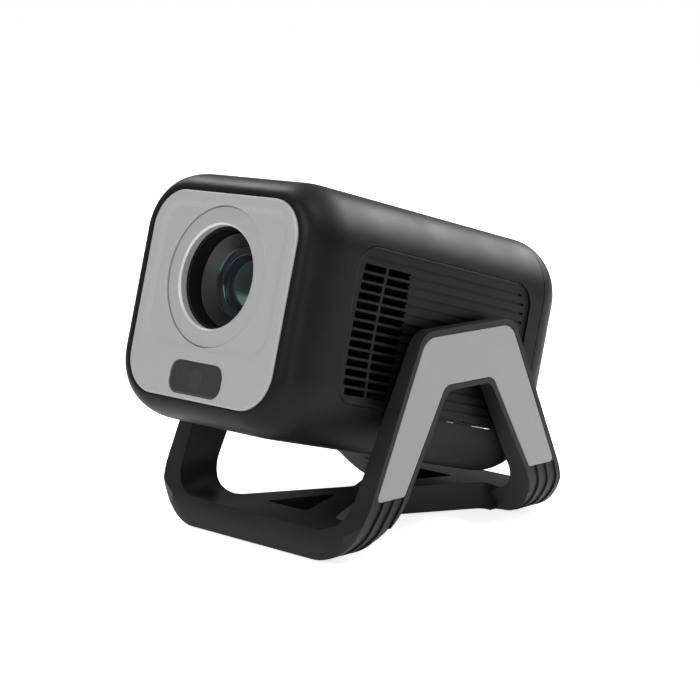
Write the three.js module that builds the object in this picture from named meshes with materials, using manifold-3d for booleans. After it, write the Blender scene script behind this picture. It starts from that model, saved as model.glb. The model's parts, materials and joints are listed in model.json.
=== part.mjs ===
// Home projector on a tilting U-shaped desk stand.
// Millimetres, +Z up, the lens looks along -Y.
// The origin is on the table, under the middle of the whole object.
import * as THREE from 'three';
import { mergeVertices } from 'three/addons/utils/BufferGeometryUtils.js';
import Module from 'manifold-3d';

const wasm = await Module();
wasm.setup();

// ---------------------------------------------------------------- clearances
const gap = 0.3; // between faces that touch in the real object
const runGap = 0.6; // between faces that slide or turn past each other

// ---------------------------------------------------------------- stand
const standHalfWidth = 91; // outer plane of each arm
const armOverPin = 19; // the top of an arm above the hinge line
const armThick = 8.5; // at the top of an arm
const armThickLow = 14; // where the arm turns into the base
const cornerRadius = 37; // outer bend between arm and base
const innerBend = 21;
const footHeight = 1.5; // rubber showing under the frame
const plateThick = 17.5;
const barFace = 95.5; // front and rear faces of the base, from the middle
const legHalfDepth = 83.3; // outer edge of a leg at the height where the bend starts
const legSlope = 0.4526; // how far the leg edge leans per unit of height
const rimWidth = 3.9; // dark rim round each grey inlay
const inlayBand = 30; // depth of the inlay's crossbar
const inlayLegWidth = 23.5; // at its lower end
const windowSlope = 0.565;
const inlayThick = 1.2;
const armRound = 13;
const cornerEase = 0.2; // how far the front of each bend falls back per unit of width
const waistHalf = 7; // half the width of the base at its narrowest
const notchSlope = 0.54;
const notchDepthY = 68; // where a side notch ends, from the middle
const pocketHalf = 18;
const pocketFar = 66;
const pocketNear = 22;
const pocketDepth = 9;
const footRadius = 8;
const footInset = 12; // foot centre from the bar's face
const footX = 46;

// ---------------------------------------------------------------- tilt hinge
const underHousing = 45.5; // from the table to the underside of the housing when it is level
const restTilt = 15; // degrees, lens end up
const pinRadius = 5.5;
const bossRadius = 13;
const sideClear = 4; // between housing and arm at the hinge
const hingePlateThick = 3;
const hingePlateSize = 44;
const washerThick = 2;

// ---------------------------------------------------------------- housing
const bodyHalfHeight = 75;
const bodyRise = 5.5; // middle of the housing above the pivot line
const bodyFront = -130.8;
const bodyRear = 97.5;
const bodyCorner = 38;
const frontEaseDepth = 27; // the front edge is a long soft ease, deeper than it is wide
const frontEaseWidth = 13;
const rearEaseDepth = 23;
const rearEaseWidth = 22;
const wall = 2.6;
const frontLip = 0.6; // the shell's lip ends this far behind its front tangent
const rearSplit = 74; // where the rear cover meets the shell
const panelSide = 15.4; // from the panel's edge to the housing's side
const panelEnd = 13.4; // from the panel's edge to the housing's top and underside
const panelCorner = 24;
const panelProud = 0.8;
const panelThick = 4.5;
const recessSide = 6.6; // from the recess to the panel's side edges
const recessEnd = 5.1; // from the recess to the panel's top edge
const recessBottom = -33; // from the middle of the housing
const recessCorner = 17;
const recessDepth = 1.8;

// ---------------------------------------------------------------- lens
const lensRise = 17.8; // optical axis above the pivot line
const trimFlat = 11.2; // width of the ring's face
const trimClear = 2; // between the ring's bore and the barrel
const trimWall = 4.5;
const hoodWall = 1.6;
const coneFront = -113; // front rim of the lens barrel at rest
const barrelOuter = 28.8;
const coneInner = 21.9;
const coneDepth = 5;
const barrelBack = -78;
const glassRadius = 20.5;
const glassDome = 6;
const gearRim = 6.6; // from the ring gear's bore to its pitch line
const pinionTeeth = 12;
const gearModule = 1.5;
const gearWidth = 6;
const gearFront = -92;
const focusTravel = 2.5; // each way

// ---------------------------------------------------------------- sensor window
const windowHalfWidth = 22.6;
const windowHalfHeight = 9.6;
const windowRise = -43; // from the pivot line
const windowCorner = 7;
const windowThick = 2;

// ---------------------------------------------------------------- side grilles
const grilleFront = -94;
const grilleRear = 62;
const grilleTop = 51;
const grilleBottom = -41;
const grilleCorner = 15;
const grilleThick = 3;
const grilleSink = 1.5;
const slotPitch = 5.55;
const slotHeight = 3.4;
const slotTop = 38.3; // middle of the first open row
const slotRows = 14;
const slotStart = -88.5;
const slotRib = -69.5;
const slotEnd = -46.7;
const ribWidth = 2;
const grooveDepth = 1.2;
const grooveHeight = 1.6;
const rowBow = 0.0012;

// ---------------------------------------------------------------- inside the housing
const boxHalf = 45; // half width and height of the optical box
const boxFront = -72;
const boxRear = 8;
const boxWall = 2.5;
const opticHalf = 41.5;
const fanHalf = 40;
const fanFront = 54;
const fanDepth = 15;
const fanHub = 14;
const fanBlades = 7;
const sinkFront = 20;
const sinkRear = 50;
const sinkBase = 5;
const sinkHalf = 38;
const sinkFins = 9;
const finThick = 2;
const spokeThick = 2; // arms that hold the fan's hub
const spokeHalf = 2;
const ledHalf = 20;
const ledThick = 4;
const boardHalfWidth = 56;
const boardFront = -66;
const boardRear = 62;
const boardThick = 1.6;
const boardRise = -37; // underside of the main board
const powerRise = -62; // underside of the power board
const spreaderHalf = 18;
const spreaderThick = 3.4;
const transformerHeight = 19.4;
const speakerSetback = 12; // from the speaker box's open face to the housing's side
const speakerDepth = 22;
const motorRoom = 11.8; // from the focus motor's shaft to the speaker box
const speakerLength = 32;
const speakerHalf = 22;
const speakerSpot = -100;
const speakerRise = -22;
const coneRadius = 12.4;
const mouthDepth = 6;
const dishDepth = 2.5;

// ---------------------------------------------------------------- rear cover
const screwRadius = 2.2;
const ventRows = 11;
const ventPitch = 6;
const ventHalf = 34;
const ventHeight = 3;
const portRecessHalf = 43;
const portRecessTop = -33;
const portRecessBottom = -46;
const portHollow = 9;
const buttonRadius = 5;
const buttonX = 44;
const buttonZ = 44;

// ---------------------------------------------------------------- sizes that follow from those above
const bodyHalfWidth = standHalfWidth - armThick - sideClear - 0.5;
const pivotHeight = underHousing - bodyRise + bodyHalfHeight;
const armTop = pivotHeight + armOverPin;
const panelHalfWidth = bodyHalfWidth - panelSide;
const panelHalfHeight = bodyHalfHeight - panelEnd;
const recessHalfWidth = panelHalfWidth - recessSide;
const recessTop = panelHalfHeight - recessEnd; // from the middle of the housing
const trimBore = barrelOuter + trimClear;
const trimOuter = trimBore + trimFlat;
const gearTeeth = 4 * Math.round((barrelOuter + runGap + gearRim) / (2 * gearModule));
const speakerOuter = bodyHalfWidth - speakerSetback; // the speaker box's open face

// ---------------------------------------------------------------- solids
function toSolid(geometry) {
  const bare = geometry.clone();
  bare.deleteAttribute('normal');
  bare.deleteAttribute('uv');
  const merged = mergeVertices(bare, 1e-4);
  return new wasm.Manifold(
    new wasm.Mesh({
      numProp: 3,
      vertProperties: new Float32Array(merged.attributes.position.array),
      triVerts: new Uint32Array(merged.index.array),
    }),
  );
}

function toGeometry(solid) {
  const mesh = solid.getMesh();
  const geometry = new THREE.BufferGeometry();
  geometry.setAttribute('position', new THREE.BufferAttribute(new Float32Array(mesh.vertProperties), 3));
  geometry.setIndex(new THREE.BufferAttribute(new Uint32Array(mesh.triVerts), 1));
  return geometry;
}

// An outline pushed along one axis: its two directions are (y, z), (x, z) or (x, y).
function prism(shape, axis, from, to, segments = 6) {
  const geometry = new THREE.ExtrudeGeometry(shape, {
    depth: to - from,
    bevelEnabled: false,
    curveSegments: segments,
  });
  if (axis === 'x') {
    const basis = new THREE.Matrix4().makeBasis(
      new THREE.Vector3(0, 1, 0),
      new THREE.Vector3(0, 0, 1),
      new THREE.Vector3(1, 0, 0),
    );
    geometry.applyMatrix4(basis);
    geometry.translate(from, 0, 0);
  } else if (axis === 'y') {
    geometry.rotateX(Math.PI / 2);
    geometry.translate(0, to, 0);
  } else {
    geometry.translate(0, 0, from);
  }
  return toSolid(geometry);
}

function box(x0, x1, y0, y1, z0, z1) {
  const geometry = new THREE.BoxGeometry(x1 - x0, y1 - y0, z1 - z0);
  geometry.translate((x0 + x1) / 2, (y0 + y1) / 2, (z0 + z1) / 2);
  return toSolid(geometry);
}

function roundRect(u, v, halfU, halfV, radius) {
  const shape = new THREE.Shape();
  shape.absarc(u + halfU - radius, v + halfV - radius, radius, 0, Math.PI / 2);
  shape.absarc(u - halfU + radius, v + halfV - radius, radius, Math.PI / 2, Math.PI);
  shape.absarc(u - halfU + radius, v - halfV + radius, radius, Math.PI, Math.PI * 1.5);
  shape.absarc(u + halfU - radius, v - halfV + radius, radius, Math.PI * 1.5, Math.PI * 2);
  return shape;
}

// A polygon whose corners are eased by their own radii, as [u, v, radius].
function easedPolygon(corners) {
  const shape = new THREE.Shape();
  const count = corners.length;
  corners.forEach(([u, v, radius], i) => {
    const here = new THREE.Vector2(u, v);
    const before = new THREE.Vector2(...corners[(i + count - 1) % count]).sub(here).normalize();
    const after = new THREE.Vector2(...corners[(i + 1) % count]).sub(here).normalize();
    const half = Math.acos(before.dot(after)) / 2;
    const reach = radius / Math.tan(half);
    const start = here.clone().addScaledVector(before, reach);
    const end = here.clone().addScaledVector(after, reach);
    if (i === 0) shape.moveTo(start.x, start.y);
    else shape.lineTo(start.x, start.y);
    if (radius > 0) shape.quadraticCurveTo(u, v, end.x, end.y);
  });
  shape.closePath();
  return shape;
}

function polygon(points) {
  return new THREE.Shape(points.map(([u, v]) => new THREE.Vector2(u, v)));
}

// A turned piece: profile of [radius, along], spun about X or Y.
function turned(profile, axis, segments = 32) {
  const points = profile.map(([r, h]) => new THREE.Vector2(r, h));
  if (THREE.ShapeUtils.area(points) < 0) points.reverse();
  const geometry = new THREE.LatheGeometry(points, segments);
  if (axis === 'x') geometry.rotateZ(-Math.PI / 2);
  return toSolid(geometry);
}

function disc(radius, axis, from, to, segments = 32) {
  return turned([[0, from], [radius, from], [radius, to], [0, to]], axis, segments);
}

function ring(outer, inner, axis, from, to, segments = 32) {
  return turned([[inner, from], [outer, from], [outer, to], [inner, to], [inner, from]], axis, segments);
}

// The housing's form, brought in by `inset`: a box along Y with rounded long edges and eased ends.
function easedBox(easeDepth, easeWidth, inset) {
  const half = bodyHalfWidth - inset;
  const geometry = new THREE.ExtrudeGeometry(
    roundRect(0, bodyRise, half, bodyHalfHeight - inset, bodyCorner - inset),
    {
      depth: bodyRear - bodyFront - 2 * easeDepth,
      bevelEnabled: true,
      bevelThickness: easeDepth - inset,
      bevelSize: easeWidth - inset,
      bevelOffset: -(easeWidth - inset),
      bevelSegments: 4,
      curveSegments: 5,
    },
  );
  geometry.rotateX(Math.PI / 2);
  geometry.translate(0, bodyRear - easeDepth, 0);
  return toSolid(geometry);
}

const halfSpace = (y0, y1) => box(-200, 200, y0, y1, -200, 200);

function bodyForm(inset) {
  const front = easedBox(frontEaseDepth, frontEaseWidth, inset).intersect(halfSpace(-200, 0));
  const rear = easedBox(rearEaseDepth, rearEaseWidth, inset).intersect(halfSpace(0, 200));
  return front.add(rear);
}

// ---------------------------------------------------------------- finishes
function finish(color, roughness, metalness = 0) {
  return new THREE.MeshStandardMaterial({ color, roughness, metalness });
}
const blackPlastic = () => finish('#1b1b1c', 0.55);
const darkFrame = () => finish('#3a3a3b', 0.5);
const greyPaint = () => finish('#a3a3a3', 0.5);
const steel = () => finish('#b8bcc0', 0.35, 1);
const aluminium = () => finish('#c3c6c8', 0.4, 1);
const glass = () => finish('#dfe9ee', 0.05);
const board = () => finish('#1f4a34', 0.6);
const rubber = () => finish('#222222', 0.9);

const root = new THREE.Group();
const housing = new THREE.Group();
housing.position.z = pivotHeight;
housing.rotation.x = -THREE.MathUtils.degToRad(restTilt);
root.add(housing);

function add(group, name, solid, material) {
  const mesh = new THREE.Mesh(toGeometry(solid), material);
  mesh.name = name;
  group.add(mesh);
  return mesh;
}

const sides = [['right', 1], ['left', -1]];
const mirrorX = (solid, side) => (side > 0 ? solid : solid.mirror([1, 0, 0]));

// ---------------------------------------------------------------- stand frame
const plateTop = footHeight + plateThick;
const bendHeight = footHeight + cornerRadius;
const bendX = standHalfWidth - cornerRadius;
const armInnerTop = standHalfWidth - armThick;
const armInnerLow = standHalfWidth - armThickLow;
const legEdge = (z) => legHalfDepth - legSlope * (z - bendHeight);
const inlayTop = armTop - rimWidth;
const inlayInnerTop = inlayTop - inlayBand;
const inlayEdge = (z) => legEdge(z) - rimWidth;
const inlayInner = (z) => inlayEdge(bendHeight) - inlayLegWidth - windowSlope * (z - bendHeight);
const windowRim = rimWidth - 0.4;
const windowEdge = (z) => inlayInner(z) - windowRim * 1.15;
const windowTop = inlayInnerTop - windowRim;

function frameOutline() {
  const shape = new THREE.Shape();
  shape.moveTo(standHalfWidth, armTop);
  shape.lineTo(armInnerTop, armTop);
  shape.lineTo(armInnerLow, plateTop + innerBend);
  shape.absarc(armInnerLow - innerBend, plateTop + innerBend, innerBend, 0, -Math.PI / 2, true);
  shape.absarc(-armInnerLow + innerBend, plateTop + innerBend, innerBend, -Math.PI / 2, -Math.PI, true);
  shape.lineTo(-armInnerTop, armTop);
  shape.lineTo(-standHalfWidth, armTop);
  shape.lineTo(-standHalfWidth, bendHeight);
  shape.absarc(-bendX, bendHeight, cornerRadius, Math.PI, Math.PI * 1.5);
  shape.absarc(bendX, bendHeight, cornerRadius, Math.PI * 1.5, Math.PI * 2);
  shape.closePath();
  return shape;
}

function sideOutline() {
  const kneeHeight = bendHeight - (barFace - legHalfDepth) / legSlope;
  return easedPolygon([
    [-barFace, footHeight - 1, 0],
    [barFace, footHeight - 1, 0],
    [barFace, kneeHeight, 0],
    [legEdge(armTop), armTop, armRound],
    [-legEdge(armTop), armTop, armRound],
    [-barFace, kneeHeight, 0],
  ]);
}

function armWindow(side) {
  const low = footHeight - 5;
  const shape = easedPolygon([
    [-windowEdge(low), low, 0],
    [windowEdge(low), low, 0],
    [windowEdge(windowTop), windowTop, 8],
    [-windowEdge(windowTop), windowTop, 8],
  ]);
  return mirrorX(prism(shape, 'x', bendX - 4, standHalfWidth + 5), side);
}

function baseNotch(side) {
  const farX = bendX + 6;
  const nearX = waistHalf + notchSlope * notchDepthY;
  const shape = easedPolygon([
    [waistHalf, 0, 5],
    [nearX, -notchDepthY, 8],
    [farX, -notchDepthY, 0],
    [farX, notchDepthY, 0],
    [nearX, notchDepthY, 8],
  ]);
  return mirrorX(prism(shape, 'z', footHeight - 5, plateTop + 3), side);
}

function basePocket(end) {
  const shape = easedPolygon([
    [-pocketHalf, end * pocketFar, 2],
    [pocketHalf, end * pocketFar, 2],
    [0, end * pocketNear, 2],
  ]);
  return prism(shape, 'z', plateTop - pocketDepth, plateTop + 5);
}

// The front and rear of each bend fall back a little from the bar's face.
function bendEase(side, end) {
  const far = standHalfWidth + 5;
  const back = barFace - cornerEase * (far - bendX);
  const shape = polygon([
    [bendX, end * barFace],
    [bendX, end * (barFace + 5)],
    [far, end * (barFace + 5)],
    [far, end * back],
  ]);
  return mirrorX(prism(shape, 'z', footHeight - 5, bendHeight + 60), side);
}

// Three shallow grooves run round each bend below an inlay leg, with two thin ribs left between them.
function bendGrooves(side, end) {
  const grooves = 3;
  const rib = 1.8;
  const depth = 1.2;
  const width = (inlayLegWidth - (grooves - 1) * rib) / grooves;
  const low = footHeight + 3;
  const sector = new THREE.Shape();
  sector.absarc(bendX, bendHeight, cornerRadius + 4, -Math.PI * 0.42, 0);
  sector.absarc(bendX, bendHeight, cornerRadius - depth, 0, -Math.PI * 0.42, true);
  const band = prism(sector, 'y', -barFace - 5, barFace + 5, 5);
  let cut = null;
  for (let i = 0; i < grooves; i++) {
    const outer = inlayEdge(bendHeight) - i * (width + rib);
    const lean = legSlope * (bendHeight - low);
    const stripe = polygon([
      [end * outer, bendHeight - 0.5],
      [end * (outer - width), bendHeight - 0.5],
      [end * (outer - width + lean), low],
      [end * (outer + lean), low],
    ]);
    const groove = band.intersect(prism(stripe, 'x', bendX, standHalfWidth + 5));
    cut = cut ? cut.add(groove) : groove;
  }
  return mirrorX(cut, side);
}

function inlayShape(ease) {
  return easedPolygon([
    [-inlayEdge(bendHeight) - ease, bendHeight - ease, 2.5],
    [-inlayInner(bendHeight) + ease, bendHeight - ease, 2.5],
    [-inlayInner(inlayInnerTop), inlayInnerTop - ease, 8],
    [inlayInner(inlayInnerTop), inlayInnerTop - ease, 8],
    [inlayInner(bendHeight) - ease, bendHeight - ease, 2.5],
    [inlayEdge(bendHeight) + ease, bendHeight - ease, 2.5],
    [inlayEdge(inlayTop) + ease, inlayTop + ease, armRound - 1],
    [-inlayEdge(inlayTop) - ease, inlayTop + ease, armRound - 1],
  ]);
}

const inlayFloor = standHalfWidth - inlayThick - gap;
const bossInner = bodyHalfWidth + runGap;
const pinOuter = standHalfWidth - 4;
const pinInner = bodyHalfWidth - grilleSink - grilleThick - washerThick - hingePlateThick - 6;
const hingeAxis = (solid) => solid.translate([0, 0, pivotHeight]);

function makeFrame() {
  let frame = prism(frameOutline(), 'y', -barFace, barFace, 6);
  frame = frame.intersect(prism(sideOutline(), 'x', -standHalfWidth - 1, standHalfWidth + 1, 5));
  for (const end of [-1, 1]) frame = frame.subtract(basePocket(end));
  for (const [, side] of sides) {
    frame = frame.subtract(armWindow(side)).subtract(baseNotch(side));
    for (const end of [-1, 1]) {
      frame = frame.subtract(bendEase(side, end)).subtract(bendGrooves(side, end));
      const footY = end * (barFace - footInset);
      const seatRadius = footRadius + gap;
      const seat = toSolid(new THREE.CylinderGeometry(seatRadius, seatRadius, 4, 24).rotateX(Math.PI / 2));
      frame = frame.subtract(seat.translate([side * footX, footY, footHeight]));
    }
    const inlayCut = prism(inlayShape(gap), 'x', inlayFloor, standHalfWidth + 5);
    frame = frame.subtract(mirrorX(inlayCut, side));
    const boss = mirrorX(hingeAxis(disc(bossRadius, 'x', bossInner, armInnerTop + 3)), side);
    const bore = mirrorX(hingeAxis(disc(pinRadius + gap, 'x', bossInner - 1, pinOuter + gap, 24)), side);
    frame = frame.add(boss).subtract(bore);
  }
  return frame;
}

add(root, 'stand_frame', makeFrame(), darkFrame());
for (const [label, side] of sides) {
  const inlay = prism(inlayShape(0), 'x', standHalfWidth - inlayThick, standHalfWidth);
  add(root, `inlay_${label}`, mirrorX(inlay, side), greyPaint());
  const pin = hingeAxis(disc(pinRadius, 'x', pinInner, pinOuter, 24));
  add(root, `hinge_pin_${label}`, mirrorX(pin, side), steel());
  for (const [place, end] of [['front', -1], ['rear', 1]]) {
    const pad = toSolid(new THREE.CylinderGeometry(footRadius, footRadius, 3.2, 24).rotateX(Math.PI / 2));
    const spot = [side * footX, end * (barFace - footInset), 1.6];
    add(root, `foot_${place}_${label}`, pad.translate(spot), rubber());
  }
}

// ---------------------------------------------------------------- housing shell and covers
const innerHalf = bodyHalfWidth - wall;
const frontCut = bodyFront + frontLip;
const outerForm = bodyForm(0);
const innerForm = bodyForm(wall);
const grilleMidY = (grilleFront + grilleRear) / 2;
const grilleMidZ = (grilleTop + grilleBottom) / 2;
const grilleHalfY = (grilleRear - grilleFront) / 2;
const grilleHalfZ = (grilleTop - grilleBottom) / 2;
const grilleShape = (ease) =>
  roundRect(grilleMidY, grilleMidZ, grilleHalfY + ease, grilleHalfZ + ease, grilleCorner + ease);

function makeShell() {
  let shell = outerForm.subtract(innerForm).intersect(halfSpace(frontCut, rearSplit));
  const mouth = roundRect(0, bodyRise, panelHalfWidth + gap, panelHalfHeight + gap, panelCorner + gap);
  shell = shell.subtract(prism(mouth, 'y', frontCut - 5, frontCut + 40));
  for (const [, side] of sides) {
    shell = shell.subtract(mirrorX(prism(grilleShape(gap), 'x', innerHalf - 5, bodyHalfWidth + 5), side));
  }
  return shell;
}

const lensAxis = (solid) => solid.translate([0, 0, lensRise]);
const panelFace = frontCut - panelProud;

function makePanel() {
  const outline = (half, extra) =>
    roundRect(0, bodyRise, panelHalfWidth - half, panelHalfHeight - half, panelCorner - half + extra);
  let panel = prism(outline(0, 0), 'y', panelFace + 1.2, panelFace + panelThick);
  panel = panel.add(prism(outline(1.2, 0), 'y', panelFace, panelFace + panelThick));
  const recess = roundRect(
    0,
    bodyRise + (recessTop + recessBottom) / 2,
    recessHalfWidth,
    (recessTop - recessBottom) / 2,
    recessCorner,
  );
  panel = panel.subtract(prism(recess, 'y', panelFace - 1, panelFace + recessDepth));
  panel = panel.subtract(lensAxis(disc(trimOuter + gap, 'y', panelFace - 1, panelFace + panelThick + 1, 36)));
  const pane = roundRect(0, windowRise, windowHalfWidth + gap, windowHalfHeight + gap, windowCorner + gap);
  return panel.subtract(prism(pane, 'y', panelFace - 1, panelFace + panelThick + 1));
}

function makeTrim() {
  const face = panelFace + recessDepth - 0.9;
  return lensAxis(
    turned(
      [
        [trimBore, face + trimWall + 1],
        [trimBore, face + 1],
        [trimBore + 1.2, face],
        [trimOuter - 1.5, face + 0.8],
        [trimOuter, face + 1.6],
        [trimOuter, face + trimWall + 1],
        [trimBore, face + trimWall + 1],
      ],
      'y',
      36,
    ),
  );
}

function makeRearCover() {
  let cover = outerForm.subtract(innerForm).intersect(halfSpace(rearSplit + gap, bodyRear + 5));
  const through = [bodyRear - 6, bodyRear + 2];
  for (let row = 0; row < ventRows; row++) {
    const z = lensRise + (row - (ventRows - 1) / 2) * ventPitch;
    cover = cover.subtract(box(-ventHalf, ventHalf, ...through, z - ventHeight / 2, z + ventHeight / 2));
  }
  cover = cover.subtract(box(-portRecessHalf, portRecessHalf, ...through, portRecessBottom, portRecessTop));
  cover = cover.subtract(disc(buttonRadius + gap, 'y', ...through, 24).translate([buttonX, 0, buttonZ]));
  for (const [x, z] of screwSpots) {
    cover = cover.subtract(disc(screwRadius + gap, 'y', ...through, 16).translate([x, 0, z]));
  }
  return cover;
}

const screwSpots = [[-44, 54], [-44, -18], [44, -18], [0, 57]];

function makeGrille(side) {
  const outer = bodyHalfWidth - grilleSink;
  const inner = outer - grilleThick;
  let plate = prism(grilleShape(0), 'x', inner, outer);
  const lip = prism(grilleShape(0), 'x', outer - 1, outer + 0.9).subtract(
    prism(grilleShape(-1.6), 'x', outer - 2, outer + 2),
  );
  plate = plate.add(lip);
  for (let row = -1; row < slotRows; row++) {
    const z = slotTop - row * slotPitch;
    const half = slotHeight / 2;
    const corner = Math.max(0, Math.abs(z - grilleMidZ) + half - (grilleHalfZ - grilleCorner));
    const inset = grilleCorner - Math.sqrt(Math.max(0, grilleCorner ** 2 - corner ** 2)) + 3;
    const bow = rowBow * (z - grilleMidZ) ** 2; // the slot ends lie on shallow arcs
    const start = Math.max(slotStart, grilleFront + inset) + bow;
    const end = grilleRear - inset - bow;
    const rib = slotRib + bow;
    const last = slotEnd - bow;
    const from = row < 0 ? start : last;
    const line = grooveHeight / 2;
    plate = plate.subtract(box(outer - grooveDepth, outer + 0.5, from - 0.5, end, z - line, z + line));
    if (row < 0) continue;
    for (const [y0, y1] of [[start, rib - ribWidth / 2], [rib + ribWidth / 2, last]]) {
      plate = plate.subtract(box(inner - 1, outer + 0.5, y0, y1, z - half, z + half));
    }
  }
  plate = plate.add(disc(bossRadius + 4, 'x', inner, outer + 0.2, 28));
  plate = plate.subtract(disc(bossRadius + 1, 'x', inner - 5, outer + 5, 28));
  return mirrorX(plate, side);
}

add(housing, 'main_shell', makeShell(), blackPlastic());
add(housing, 'front_panel', makePanel(), greyPaint());
add(housing, 'lens_trim_ring', makeTrim(), greyPaint());
add(housing, 'rear_cover', makeRearCover(), blackPlastic());
for (const [label, side] of sides) add(housing, `grille_${label}`, makeGrille(side), blackPlastic());
const pane = roundRect(0, windowRise, windowHalfWidth, windowHalfHeight, windowCorner);
const paneFace = panelFace + gap;
const paneSolid = prism(pane, 'y', paneFace, paneFace + windowThick);
add(housing, 'sensor_window', paneSolid, finish('#4a4a4a', 0.15));
screwSpots.forEach(([x, z], i) => {
  const screw = disc(screwRadius, 'y', bodyRear - 5, bodyRear - 0.4, 16).translate([x, 0, z]);
  add(housing, `rear_screw_${i + 1}`, screw, steel());
});

// ---------------------------------------------------------------- hinge plates and washers
for (const [label, side] of sides) {
  const washerOuter = bodyHalfWidth - grilleSink - grilleThick - gap;
  const washer = ring(11, pinRadius + gap, 'x', washerOuter - washerThick, washerOuter, 24);
  add(housing, `friction_washer_${label}`, mirrorX(washer, side), steel());
  const plateOuter = washerOuter - washerThick - gap;
  const half = hingePlateSize / 2;
  const blank = prism(roundRect(0, 0, half, half, 5), 'x', plateOuter - hingePlateThick, plateOuter, 4);
  const bore = disc(pinRadius + gap, 'x', plateOuter - 10, plateOuter + 5, 24);
  add(housing, `hinge_plate_${label}`, mirrorX(blank.subtract(bore), side), steel());
}

// ---------------------------------------------------------------- lens
const pitchRadius = (teeth) => (teeth * gearModule) / 2;

function gearShape(teeth, tipOut, rootIn, bore) {
  const shape = new THREE.Shape();
  const pitch = pitchRadius(teeth);
  const step = (Math.PI * 2) / teeth;
  for (let i = 0; i < teeth; i++) {
    const a = i * step;
    const tooth = [[-0.25, -rootIn], [-0.12, tipOut], [0.12, tipOut], [0.25, -rootIn]];
    tooth.forEach(([turn, rise], k) => {
      const angle = a + turn * step;
      const x = (pitch + rise) * Math.cos(angle);
      const y = (pitch + rise) * Math.sin(angle);
      if (i === 0 && k === 0) shape.moveTo(x, y);
      else shape.lineTo(x, y);
    });
  }
  shape.closePath();
  const hole = new THREE.Path();
  hole.absarc(0, 0, bore, 0, Math.PI * 2, true);
  shape.holes.push(hole);
  return shape;
}

const gearRear = gearFront + gearWidth;
const gearBore = barrelOuter + runGap;

function makeBarrel() {
  const bore = glassRadius + gap;
  return lensAxis(
    turned(
      [
        [barrelOuter, coneFront],
        [barrelOuter, barrelBack],
        [bore, barrelBack],
        [bore, coneFront + coneDepth + 5],
        [coneInner - 3, coneFront + coneDepth + 5],
        [coneInner - 3, coneFront + coneDepth + 1.5],
        [coneInner, coneFront + coneDepth],
        [barrelOuter - 0.8, coneFront],
        [barrelOuter, coneFront],
      ],
      'y',
      40,
    ),
  );
}

function lensGlass(front, radius, dome, depth) {
  const steps = 3;
  const profile = [[0, front - dome]];
  for (let i = 1; i <= steps; i++) {
    const r = (radius * i) / steps;
    profile.push([r, front - dome * (1 - (r / radius) ** 2)]);
  }
  profile.push([radius, front + depth]);
  profile.push([0, front + depth]);
  return lensAxis(turned(profile, 'y', 24));
}

const hoodFront = panelFace + recessDepth - 0.9 + trimWall + 1 + gap;
const hoodOuter = trimBore + 2.5;
const hood = ring(hoodOuter, barrelOuter + runGap, 'y', hoodFront, gearFront - runGap, 40);
add(housing, 'lens_hood', lensAxis(hood), blackPlastic());
add(housing, 'lens_barrel', makeBarrel(), finish('#3c3c3e', 0.4, 0.3));
add(housing, 'front_lens', lensGlass(coneFront + coneDepth + 5 + gap, glassRadius - 0.3, 0.01, 4), glass());
const domeSeat = coneFront + coneDepth + 4.6;
add(housing, 'lens_dome', lensGlass(domeSeat, coneInner - 3 - gap, glassDome, 0.1), glass());
add(housing, 'rear_lens', lensGlass(barrelBack - 6, glassRadius - 0.3, 0.01, 5), glass());

const ringGear = prism(gearShape(gearTeeth, 0.9, 1.3, gearBore), 'y', gearFront, gearRear, 24);
add(housing, 'focus_ring_gear', lensAxis(ringGear), finish('#d8d4c8', 0.5));
const pinionSpot = pitchRadius(gearTeeth) + pitchRadius(pinionTeeth) + 0.5;
const pinionShape = gearShape(pinionTeeth, 0.9, 1.3, 1.6);
const toothStep = 360 / gearTeeth;
const motorSide = Math.min(pinionSpot * Math.SQRT1_2, speakerOuter - speakerDepth - motorRoom);
// 45 degrees below the lens's side, or more where the speaker box asks for it
const motorLean = THREE.MathUtils.radToDeg(Math.acos(motorSide / pinionSpot));
const motorDegrees = -Math.round(motorLean / toothStep) * toothStep; // on the centre of a tooth
const motorAngle = THREE.MathUtils.degToRad(motorDegrees);
const motorX = pinionSpot * Math.cos(motorAngle);
const motorZ = lensRise + pinionSpot * Math.sin(motorAngle);

function makePinion() {
  const pinion = prism(pinionShape, 'y', gearFront, gearRear, 4);
  const halfTooth = 180 / pinionTeeth;
  return pinion.rotate([0, -(motorDegrees + 180 + halfTooth), 0]).translate([motorX, 0, motorZ]);
}
add(housing, 'focus_pinion', makePinion(), finish('#d8d4c8', 0.5));

function makeMotor() {
  const can = disc(7.5, 'y', gearRear + runGap, boxFront - 2.6 - 2 * gap, 20);
  const shaft = disc(1.2, 'y', gearFront, gearRear + 2, 12);
  return can.add(shaft).translate([motorX, 0, motorZ]);
}
add(housing, 'focus_motor', makeMotor(), steel());

function makeLensMount() {
  const half = boxHalf;
  const front = barrelBack + 3;
  const outline = roundRect(0, lensRise, half, half, 4);
  const plate = prism(outline, 'y', boxFront - 2.6 - gap, boxFront - gap, 3);
  const bore = lensAxis(disc(opticHalf - 14, 'y', front - 20, boxFront + 5, 40));
  return plate.subtract(bore);
}
add(housing, 'lens_mount', makeLensMount(), finish('#2a2a2c', 0.6));

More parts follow.
